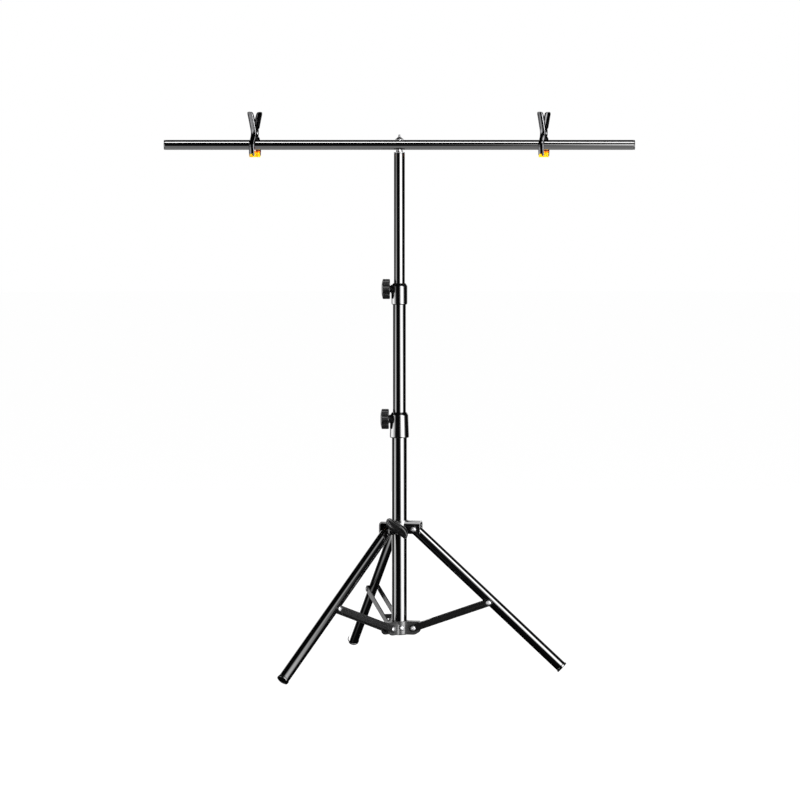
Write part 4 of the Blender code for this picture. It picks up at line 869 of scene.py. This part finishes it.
def make_wing_knob(lock):
    """T-shaped knob whose two blades sweep into a shallow S."""
    low = WING_BARREL_START
    high = low + WING_BARREL_LENGTH
    barrel = [(0, high), (WING_BARREL_R * 0.9, high), (WING_BARREL_R, low), (0, low)]
    knob = lathe("wing_knob_fine", rounded(barrel, 0.0016), lock)
    build = bmesh.new()
    rings = []
    for row in range(1, WING_ROWS):
        share = -cos(pi * row / WING_ROWS)
        centre = WING_SWEEP * sin(pi * share)
        close = (1 - abs(share) ** 8) ** 0.5
        half = (WING_TIP + (WING_WAIST - WING_TIP) * (1 - abs(share) ** 1.5)) * close
        deep = WING_DEPTH / 2 * (1 - WING_THINNING * share * share) * close
        middle = WING_START + WING_DEPTH - deep
        ring = []
        for index in range(WING_AROUND):
            angle = tau * index / WING_AROUND
            across = copysign(abs(cos(angle)) ** WING_SQUARENESS, cos(angle))
            depth = copysign(abs(sin(angle)) ** WING_SQUARENESS, sin(angle)) * deep
            if depth > 0:
                away = (across - copysign(WING_RIDGE_PLACE, share)) / WING_RIDGE_WIDTH
                depth -= WING_DISH * min(1.0, away * away) * abs(share) * close
            ring.append(build.verts.new((share * (WING_LENGTH / 2), centre + across * half, middle + depth)))
        rings.append(ring)
    for first, second in zip(rings, rings[1:]):
        bridge(build, first, second)
    build.faces.new(rings[0])
    build.faces.new(rings[-1])
    join(knob, add_piece("tool", build, lock @ spin(WING_TILT, "Z")))
    settle(knob)
    assign(knob.modifiers.new("one_skin", "REMESH"), mode="VOXEL", voxel_size=WING_VOXEL)
    assign(knob.modifiers.new("moulded", "SMOOTH"), factor=0.5, iterations=9)
    settle(knob)
    blind = low + WING_BORE_DEPTH
    cut(knob, rod(WING_SCREW_R + CLEAR, blind - low + MARGIN, raised(lock, (blind + low - MARGIN) / 2)))
    dress(settle(knob), "wing_knob")
    tip = LOWER_TUBE_R + CLEAR
    end = blind - CLEAR
    screw = [(0, end), (WING_SCREW_R, end), (WING_SCREW_R, tip), (0, tip)]
    turned("wing_knob_screw", rounded(screw, 0.0007), lock)


# Legs and struts
def make_leg(index, name):
    hinge = raised(arm_place(index), LEG_PIVOT_Z, LEG_PIVOT_RADIUS) @ spin(-LEG_ANGLE, "Y")
    seat = -LEG_LENGTH + FOOT_FLANGE_LENGTH
    profile = tube_profile(LEG_R, TUBE_WALL, seat + CLEAR, LEG_TOP_REACH)
    tube = lathe("leg_" + name + "_fine", profile, hinge, TUBE_STEPS)
    cut(tube, rod(LEG_RIVET_R + CLEAR, 4 * LEG_R, hinge @ TURN_TO_Y))
    dress(settle(tube), "leg_" + name)
    spigot = LEG_R - TUBE_WALL - CLEAR
    end = -LEG_LENGTH
    cap = [
        (0, seat + FOOT_SPIGOT_LENGTH), (spigot, seat + FOOT_SPIGOT_LENGTH), (spigot, seat),
        (FOOT_FLANGE_R, seat), (FOOT_FLANGE_R, end), (FOOT_FLANGE_R - FOOT_RIM, end),
        (FOOT_FLANGE_R - 1.6 * FOOT_RIM, end + FOOT_RECESS), (0, end + FOOT_RECESS),
    ]
    turned("foot_" + name, rounded(cap, 0.0006), hinge, TUBE_STEPS)


def make_strut(index, name):
    pivot = raised(arm_place(index), HUB_PIVOT_Z, HUB_PIVOT_RADIUS)
    ends = [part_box("strut_rivet_" + name + "_" + side) for side in "ab"]
    leg_end = sum((low + high for low, high in ends), Vector((0, 0, 0))) / 4
    run = pivot.inverted() @ leg_end
    length = hypot(run.x, run.z)
    hinge = pivot @ spin(-atan2(run.z, run.x), "Y")
    half = STRUT_HALF_HEIGHT
    outline = arc((length, 0), half, -pi / 2, pi / 2, 24) + arc((0, 0), half, pi / 2, 3 * pi / 2, 24)
    strut = slab("strut_" + name + "_fine", outline, RAIL_OUTER, hinge @ TURN_TO_Y)
    far = half + MARGIN
    web_end = STRUT_WEB_START + STRUT_WEB_LENGTH
    under = half - RAIL_WALL
    inside = [
        (-far, -far), (length + far, -far), (length + far, far), (web_end, far), (web_end, under),
        (STRUT_WEB_START, under), (STRUT_WEB_START, far), (-far, far),
    ]
    cut(strut, slab("tool", inside, RAIL_INNER, hinge @ TURN_TO_Y))
    for end in (0, length):
        cut(strut, rod(HUB_RIVET_R + CLEAR, 4 * RAIL_OUTER, raised(hinge, 0, end) @ TURN_TO_Y))
    dress(soften(strut, 0.00035), "strut_" + name)
    stub = rivet_profile(HUB_RIVET_R, RIVET_HEAD_R, RAIL_OUTER + CLEAR, RIVET_HEAD)
    stub = rounded(stub + [(HUB_RIVET_R, RAIL_INNER), (0, RAIL_INNER)], RIVET_EDGE, 3)
    for side, turn in (("a", pi / 2), ("b", -pi / 2)):
        place = raised(hinge, 0, length) @ spin(turn, "X")
        turned("strut_rivet_" + name + "_" + side, stub, place, SMALL_STEPS)


# Crossbar with its plugs, stud and nut
def threaded(radius, height, angle):
    """Radius of the stud, with a thread on its thin tip."""
    if radius > STUD_TIP_R + CLEAR / 10 or radius < STUD_TIP_R * 0.8:
        return radius
    phase = (height / THREAD_PITCH - angle / tau) % 1.0
    return radius - THREAD_DEPTH * abs(2 * phase - 1)


def make_top_fittings():
    tube_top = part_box("top_tube")[1].z
    seat = tube_top + CLEAR
    flange = seat + TOP_PLUG_FLANGE
    floor = flange - STUD_DEPTH - CLEAR
    plug_r = TOP_TUBE_R - TUBE_WALL - CLEAR
    bore = STUD_R + CLEAR
    foot = tube_top - TOP_PLUG_LENGTH
    turned("top_plug", rounded([
        (0, floor), (bore, floor), (bore, flange), (TOP_TUBE_R, flange), (TOP_TUBE_R, seat),
        (plug_r, seat), (plug_r, foot), (0, foot),
    ], LIP_ROUND), COLUMN)
    base = flange + CLEAR
    shoulder = base + STUD_COLLAR_HEIGHT
    low = BAR_Z + BAR_R + CLEAR
    high = low + NUT_HEIGHT
    crown_floor = high - NUT_CROWN_WALL
    tip = crown_floor + STUD_TIP_LENGTH
    thread_start = crown_floor - CLEAR
    outline = [(0, tip), (STUD_TIP_R * 0.7, tip)]
    for row in range(THREAD_ROWS + 1):
        run = (thread_start - tip + STUD_TIP_CHAMFER) * row / THREAD_ROWS
        outline.append((STUD_TIP_R, tip - STUD_TIP_CHAMFER + run))
    outline += [
        (STUD_R, thread_start), (STUD_R, shoulder), (STUD_COLLAR_R * 0.96, shoulder),
        (STUD_COLLAR_R, shoulder - 0.0004), (STUD_COLLAR_R, base + 0.0003), (STUD_COLLAR_R * 0.94, base),
        (STUD_R, base), (STUD_R, base - STUD_DEPTH), (0, base - STUD_DEPTH),
    ]
    turned("stud", outline, COLUMN, ROUND_STEPS, threaded)
    tip_bore = STUD_TIP_R + CLEAR
    turned("cap_nut", rounded([
        (NUT_CROWN_R, high), (NUT_CROWN_R + (NUT_R - NUT_CROWN_R) * 0.30, high - NUT_SHOULDER),
        (NUT_R * 0.86, low + NUT_FLANGE + 0.0005), (NUT_R, low + NUT_FLANGE), (NUT_R, low),
        (bore, low), (bore, crown_floor), (tip_bore, crown_floor), (tip_bore, high),
    ], 0.0005, closed=True), COLUMN)


def make_crossbar():
    low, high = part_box("crossbar")
    middle = raised(COLUMN, BAR_Z)
    profile = tube_profile(BAR_R, BAR_WALL, low.x, high.x)
    tube = lathe("crossbar_fine", profile, middle @ TURN_TO_X, TUBE_STEPS)
    cut(tube, rod(STUD_R + CLEAR, 4 * BAR_R, middle))
    dress(settle(tube), "crossbar")
    spigot = BAR_R - BAR_WALL - CLEAR
    half = (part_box("bar_plug_right")[1].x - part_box("bar_plug_left")[0].x) / 2
    seat = half - BAR_PLUG_FLANGE
    end = half - BAR_PLUG_SPIGOT
    plug = [(0, half), (BAR_R, half), (BAR_R, seat), (spigot, seat), (spigot, end), (0, end)]
    plug = rounded(plug, 0.0006)
    for side, turn in (("left", -pi / 2), ("right", pi / 2)):
        turned("bar_plug_" + side, plug, middle @ spin(turn, "Y"), TUBE_STEPS)


# Spring clamps
def lever_path():
    """Outer face of a lever from handle tip to jaw end: u, z and the depth of its flanges."""
    waist = CLAMP_WAIST_REACH
    rise = CLAMP_HANDLE_RISE - CLAMP_PIN_RISE
    spread = CLAMP_HANDLE_SPREAD - waist
    knots = [(waist + spread * out, CLAMP_PIN_RISE + rise * up, flange) for out, up, flange in HANDLE_POINTS]
    knots += [(waist + reach - setback, z, flange) for reach, setback, z, flange in JAW_POINTS]
    return smooth_path(knots, CLAMP_CURVE_STEPS)


def inward_at(path, index, depth):
    """A point of the path moved square to it, towards the other lever."""
    ahead = path[min(index + 1, len(path) - 1)]
    behind = path[max(index - 1, 0)]
    run = Vector((ahead[0] - behind[0], ahead[1] - behind[1])).normalized()
    return path[index][0] + run.y * depth, path[index][1] - run.x * depth


def inward(path, depth):
    return [inward_at(path, index, depth) for index in range(len(path))]


def flange_depths(path, ear_r):
    """Depth of the flanges along the path, with round ears about the pin."""
    depths = []
    for u, z, flange in path:
        offset = z - CLAMP_PIN_RISE
        if abs(offset) < ear_r:
            flange = max(flange, u + sqrt(ear_r ** 2 - offset ** 2))
        depths.append(flange)
    count = len(depths)
    for repeat in range(2):
        depths = [
            (depths[max(index - 1, 0)] + 2 * depths[index] + depths[min(index + 1, count - 1)]) / 4
            for index in range(count)
        ]
    return depths


def half_widths(path, narrow):
    """Half width of a lever along its path: a round tip, and a narrow waist if it nests."""
    widths = []
    run = 0.0
    for index, (u, z, flange) in enumerate(path):
        if index:
            run += dist(path[index - 1][:2], (u, z))
        width = CLAMP_HALF_WIDTH
        if run < CLAMP_TIP_TAPER:
            share = 1 - run / CLAMP_TIP_TAPER
            width *= CLAMP_TIP_SHARE + (1 - CLAMP_TIP_SHARE) * sqrt(1 - share * share)
        if narrow:
            away = abs(z - CLAMP_PIN_RISE) - CLEAR - CLAMP_EAR_R
            share = min(1.0, max(0.0, 1 - away / CLAMP_WAIST_FADE))
            width -= (CLAMP_WALL + CLEAR) * share * share * (3 - 2 * share)
        widths.append(width)
    return widths


def make_lever(node, side, place):
    """Pressed channel swept along the lever's side view, with round ears for the pin."""
    path = lever_path()
    depths = flange_depths(path, CLAMP_NESTED_EAR_R if side < 0 else CLAMP_EAR_R)
    widths = half_widths(path, narrow=side < 0)
    ledge = CLAMP_ARCH * 0.6
    build = bmesh.new()
    rows = []
    for index, half in enumerate(widths):
        corner = min(CLAMP_CORNER, half * 0.6)
        bend = corner + ledge
        deep = max(depths[index] * min(1.0, half / CLAMP_HALF_WIDTH + 0.3), bend * 1.1)
        inner = half - corner
        right = [(half, deep), (half, (deep + bend) / 2)] + arc((inner, bend), corner, 0, -pi / 2, 5)
        right += [(inner * share, ledge * share * share) for share in (0.66, 0.33)]
        section = right + [(0, 0)] + [(-w, depth) for w, depth in reversed(right)]
        at_tip = path[index][1] > CLAMP_HANDLE_RISE - CLAMP_TIP_TAPER
        flat = half / CLAMP_HALF_WIDTH if at_tip else 1.0
        row = []
        for w, depth in section:
            u, z = inward_at(path, index, depth * flat)
            row.append(build.verts.new((side * u, w, z)))
        rows.append(row)
    for first, second in zip(rows, rows[1:]):
        for index in range(len(first) - 1):
            build.faces.new((first[index], first[index + 1], second[index + 1], second[index]))
    lever = add_piece(node + "_fine", build, place)
    faces_in_row = len(rows[0]) - 1
    web = lever.data.polygons[len(rows) // 2 * faces_in_row + faces_in_row // 2]
    if web.normal.x * side < 0:
        lever.data.flip_normals()
    skin = lever.modifiers.new("sheet", "SOLIDIFY")
    assign(skin, thickness=CLAMP_WALL, offset=-1, use_even_offset=False)
    settle(lever)
    pin = raised(place, CLAMP_PIN_RISE) @ TURN_TO_Y
    cut(lever, rod(CLAMP_PIN_R + CLEAR, 4 * CLAMP_HALF_WIDTH, pin, 32))
    dress(soften(lever, 0.00018, 2, radians(50)), node)


def span_of(points, low, high):
    """The points of a falling line between two heights, with ends set at those heights."""
    kept = [point for point in points if low < point[1] < high]
    return [(kept[0][0], high)] + kept + [(kept[-1][0], low)]


def make_pad(node, side, place):
    """Soft pad inside the jaw end: teeth on its face, a lip below and a tab on the outside."""
    path = lever_path()
    seat = -CLAMP_JAW_DROP - CLEAR
    back = span_of(inward(path, CLAMP_WALL + CLEAR), seat, -PAD_TOP)
    out = path[-1][0]
    lip = seat - PAD_LIP
    inner = back[-1][0] - PAD_THICKNESS
    root = inner + PAD_TOOTH_DEPTH
    rise = -PAD_TOP - seat
    gap = rise / PAD_TEETH
    outline = back + [(out, seat), (out, lip), (inner + PAD_LIP / 2, lip)]
    for index in range(PAD_TEETH):
        start = seat + rise * index / PAD_TEETH
        outline += [
            (inner, start + gap * 0.12), (inner, start + gap * 0.55), (root, start + gap * 0.7),
            (root, start + gap * 0.97),
        ]
    outline.append((root, -PAD_TOP))
    tab_top = seat + PAD_TAB_HEIGHT
    tab_in = out + CLEAR
    tab = [
        (out - PAD_LIP / 2, lip), (tab_in + PAD_TAB_PROUD, seat - PAD_LIP * 0.7),
        (tab_in + PAD_TAB_PROUD + 0.0003, tab_top - 0.0008), (tab_in + CLEAR, tab_top),
        (tab_in, seat - CLEAR), (out - PAD_LIP / 2, seat - CLEAR),
    ]
    half = CLAMP_HALF_WIDTH - CLAMP_WALL - CLEAR
    pad = slab(node + "_fine", [(side * u, z) for u, z in outline], half, place @ TURN_TO_Y)
    join(pad, slab("tool", [(side * u, z) for u, z in tab], PAD_TAB_HALF, place @ TURN_TO_Y))
    dress(soften(pad, 0.0002, 2), node)


def wire_piece(name, points, radius, place):
    curve = bpy.data.curves.new(name, "CURVE")
    assign(curve, dimensions="3D", bevel_depth=radius, bevel_resolution=4, use_fill_caps=True)
    spline = curve.splines.new("POLY")
    spline.points.add(len(points) - 1)
    for point, spot in zip(spline.points, points):
        point.co = (*spot, 1)
    item = add_object(name, curve)
    item.matrix_world = place
    return item


def make_spring(base, place):
    """Torsion spring: one leg on each handle, the second leg moving with the rear lever."""
    coil_r = CLAMP_PIN_R + SPRING_PIN_GAP + SPRING_WIRE_R
    face = inward(lever_path(), CLAMP_WALL + CLEAR + SPRING_WIRE_R)
    leg_z = CLAMP_PIN_RISE + SPRING_LEG_RISE
    above, below = next(
        (high, low) for high, low in zip(face, face[1:]) if high[1] >= leg_z >= low[1]
    )
    share = (above[1] - leg_z) / (above[1] - below[1])
    leg_u = above[0] + (below[0] - above[0]) * share
    half_length = SPRING_TURNS * SPRING_PITCH / 2

    def coil_point(turn):
        angle = -tau * turn
        rise = CLAMP_PIN_RISE + coil_r * sin(angle)
        return Vector((coil_r * cos(angle), half_length * (2 * turn / SPRING_TURNS - 1), rise))

    def leg_points(sign, w):
        points = []
        for index in range(SPRING_LEG_POINTS):
            share = index / SPRING_LEG_POINTS
            u = leg_u + (coil_r - leg_u) * share
            points.append(Vector((sign * u, w, leg_z + (CLAMP_PIN_RISE - leg_z) * share)))
        return points

    count = round(SPRING_TURNS * SPRING_POINTS_PER_TURN)
    coil = [coil_point(SPRING_TURNS * index / count) for index in range(count + 1)]
    node = base + "_spring"
    dress(wire_piece(node + "_fine", leg_points(1, -half_length) + coil, SPRING_WIRE_R, place), node)
    rear = [coil_point(SPRING_TURNS - SPRING_OVERLAP_TURN * (1 - index / 4)) for index in range(5)]
    rear += leg_points(-1, half_length)[::-1]
    leg = wire_piece(node + "_rear_leg", rear, SPRING_WIRE_R * 1.03, place)
    dress(leg, body=base + "_rear", slot="spring_steel")


def make_clamp(side_name):
    base = "clamp_" + side_name
    place = Matrix.Translation((JOINT_POS[base + "_squeeze"][0], COLUMN_Y, BAR_Z))
    place = place @ spin(-pi / 2 - CLAMP_YAW, "Z")
    for make, kind in ((make_lever, "lever"), (make_pad, "pad")):
        make(base + "_front_" + kind, 1, place)
        make(base + "_rear_" + kind, -1, place)
    pin = raised(place, CLAMP_PIN_RISE) @ TURN_TO_Y
    make_rivet(base + "_pin", CLAMP_PIN_R, CLAMP_HALF_WIDTH, pin, CLAMP_PIN_HEAD_R, CLAMP_PIN_HEAD)
    make_spring(base, place)


# Studio: pale floor and backdrop for the camera, soft lamps, camera
FLOOR_R = 14.0
FLOOR_Z = -0.0004
CAMERA_TARGET = (0.00085, COLUMN_Y, 0.3844)
CAMERA_DISTANCE = 5.0
CAMERA_ELEVATION = radians(4.0)
SENSOR_WIDTH = 36.0
IMAGE_SIZE = 800
FOCAL_PIXELS = 3497.0
WORLD_GREY = 0.004
BAR_PIECES = ("crossbar", "bar_plug")
COLLAR_PIECES = ("upper_collar", "lower_collar")
KNOB_PIECES = ("lower_knob", "upper_knob", "wing_knob")
RIVET_PIECES = ("leg_rivet", "hub_rivet", "strut_rivet", "hub_screw")
PAD_PIECES = tuple("clamp_" + side + end for side in CLAMP_SIDES for end in ("_front_pad", "_rear_pad"))
BACK_LEG = ("leg_back", "foot_back")
RIGHT_LEG = ("leg_right", "foot_right")


def make_stage():
    """Pale plain floor and far backdrop for the camera only: no light or shadow from them on the stand."""
    build = bmesh.new()
    bmesh.ops.create_circle(build, cap_ends=True, segments=96, radius=FLOOR_R)
    floor = add_piece("floor", build, Matrix.Translation((0, 0, FLOOR_Z)))
    build = bmesh.new()
    bmesh.ops.create_uvsphere(build, u_segments=48, v_segments=24, radius=FLOOR_R)
    dome = add_piece("backdrop", build, Matrix.Identity(4))
    for item, diffuse, glow in ((floor, 0.3, 0.99), (dome, 0.0, 1.0)):
        material = new_material(item.name + "_paper", {
            "Base Color": (diffuse, diffuse, diffuse, 1.0), "Roughness": 1.0, "Specular IOR Level": 0.0,
            "Emission Color": (1.0, 1.0, 1.0, 1.0), "Emission Strength": glow,
        })[0]
        material.cycles.emission_sampling = "NONE"
        item.data.materials.append(material)
        item.visible_glossy = item.visible_shadow = item.visible_diffuse = False


def softbox(
    name, azimuth, elevation, distance, size, radiance, fade=(0.5, 0.2), roll=0.0, aim_z=0.42, only=(),
):
    """Rectangular lamp that looks at the column, with edges that fade out. Azimuth is in degrees from the
    camera's side to the right; with only, it lights just the pieces whose names start with these words."""
    turn = radians(azimuth)
    lift = radians(elevation)
    away = Vector((sin(turn) * cos(lift), -cos(turn) * cos(lift), sin(lift)))
    lamp = bpy.data.lights.new(name, "AREA")
    lamp.shape = "RECTANGLE"
    lamp.size, lamp.size_y = size
    lamp.energy = radiance * pi * lamp.size * lamp.size_y
    lamp.use_nodes = True
    tree = lamp.node_tree
    place = add_node(tree, "NewGeometry").outputs["Parametric"]
    split = add_node(tree, "SeparateXYZ", {"Vector": place})
    shares = []
    for axis, reach in zip("XY", fade):
        edge = calculated(tree, "PINGPONG", split.outputs[axis], 0.5)
        shares.append(spread_over(tree, edge, 0.0, 1.0, 0.0, reach, interpolation_type="SMOOTHSTEP"))
    feed(tree, tree.nodes["Emission"], {"Strength": calculated(tree, "MULTIPLY", *shares)})
    item = add_object(name, lamp)
    item.location = Vector((0, COLUMN_Y, aim_z)) + away * distance
    facing = away.to_track_quat("Z", "Y").to_matrix() @ Matrix.Rotation(radians(roll), 3, "Z")
    item.rotation_euler = facing.to_euler()
    item.visible_camera = False
    if only:
        receivers = bpy.data.collections.new("lit_by_" + name)
        for piece in bpy.data.objects:
            if piece.name.startswith(only) and piece.name.endswith("_fine"):
                receivers.objects.link(piece)
        item.light_linking.receiver_collection = receivers


def make_lights():
    softbox("key", 40, -4, 1.7, (1.9, 3.0), 7.5, fade=(0.5, 0.25), roll=36.0)
    softbox("key_high", 34, 46, 2.2, (1.5, 1.5), 1.6, fade=(0.5, 0.4), aim_z=0.2)
    softbox("right_leg_high", 34, 46, 2.0, (1.5, 1.5), 6.5, fade=(0.5, 0.4), aim_z=0.2, only=RIGHT_LEG)
    softbox("side_fill", -70, -12, 2.0, (1.8, 2.4), 3.0, fade=(0.5, 0.5))
    softbox("bar_top", 0, 62, 1.6, (2.6, 0.5), 15.0, fade=(0.1, 0.5), aim_z=BAR_Z, only=BAR_PIECES)
    softbox("clamp_top", 10, 50, 1.2, (0.8, 0.8), 4.0, aim_z=BAR_Z, only=("clamp",))
    softbox("clamp_edge", 45, -42, 1.2, (0.9, 1.1), 9.0, aim_z=BAR_Z, only=("clamp",))
    softbox("clamp_face", -45, -40, 1.2, (0.9, 1.1), 1.6, aim_z=BAR_Z, only=("clamp",))
    softbox("pad_front", 15, -10, 1.0, (0.9, 0.9), 3.5, aim_z=BAR_Z, only=PAD_PIECES)
    softbox("backdrop_glow", 180, 4, 2.6, (5.4, 2.6), 1.1, fade=(0.15, 0.15))
    softbox("bar_low", 0, -78, 1.1, (3.0, 3.2), 0.72, fade=(0.1, 0.1), aim_z=BAR_Z, only=BAR_PIECES)
    softbox("shoulder_top", 0, 80, 1.3, (2.4, 3.0), 3.2, aim_z=0.15, only=("leg_collar_fine",))
    softbox("knob_top", -30, 58, 1.2, (1.0, 1.0), 4.0, only=KNOB_PIECES)
    softbox("collar_left", -98, 0, 1.3, (1.6, 2.0), 4.5, only=COLLAR_PIECES)
    softbox("rivet_front", -18, 4, 1.6, (1.4, 1.4), 3.2, aim_z=0.12, only=RIVET_PIECES)
    softbox("back_leg_low", -20, -60, 0.9, (1.6, 1.6), 2.4, aim_z=0.2, only=BACK_LEG)
    softbox("back_leg_left", -137, -10, 1.6, (0.9, 1.6), 4.0, aim_z=0.2, only=BACK_LEG)
    world = bpy.data.worlds.new("studio")
    world.use_nodes = True
    grey = (WORLD_GREY, WORLD_GREY, WORLD_GREY, 1.0)
    world.node_tree.nodes["Background"].inputs["Color"].default_value = grey
    bpy.context.scene.world = world


def make_camera():
    data = bpy.data.cameras.new("camera")
    data.sensor_width = SENSOR_WIDTH
    data.lens = FOCAL_PIXELS * SENSOR_WIDTH / IMAGE_SIZE
    data.clip_end = 60.0
    camera = add_object("camera", data)
    away = Vector((0, -cos(CAMERA_ELEVATION), sin(CAMERA_ELEVATION)))
    camera.location = Vector(CAMERA_TARGET) + away * CAMERA_DISTANCE
    camera.rotation_euler = away.to_track_quat("Z", "Y").to_euler()
    bpy.context.scene.camera = camera
    bpy.context.scene.view_settings.view_transform = "Standard"


make_column()
make_lock_collar("lower_collar", "lower_knob", "lower_tube", "middle_tube")
make_lock_collar("upper_collar", "upper_knob", "middle_tube", "top_tube")
make_star_knob("lower_knob", "lower_collar", MIDDLE_TUBE_R)
make_star_knob("upper_knob", "upper_collar", TOP_TUBE_R)
make_hub()
make_leg_collar()
for leg_index, leg_name in enumerate(LEG_NAMES):
    make_leg(leg_index, leg_name)
    make_strut(leg_index, leg_name)
make_top_fittings()
make_crossbar()
for clamp_name in CLAMP_SIDES:
    make_clamp(clamp_name)
make_stage()
make_lights()
make_camera()
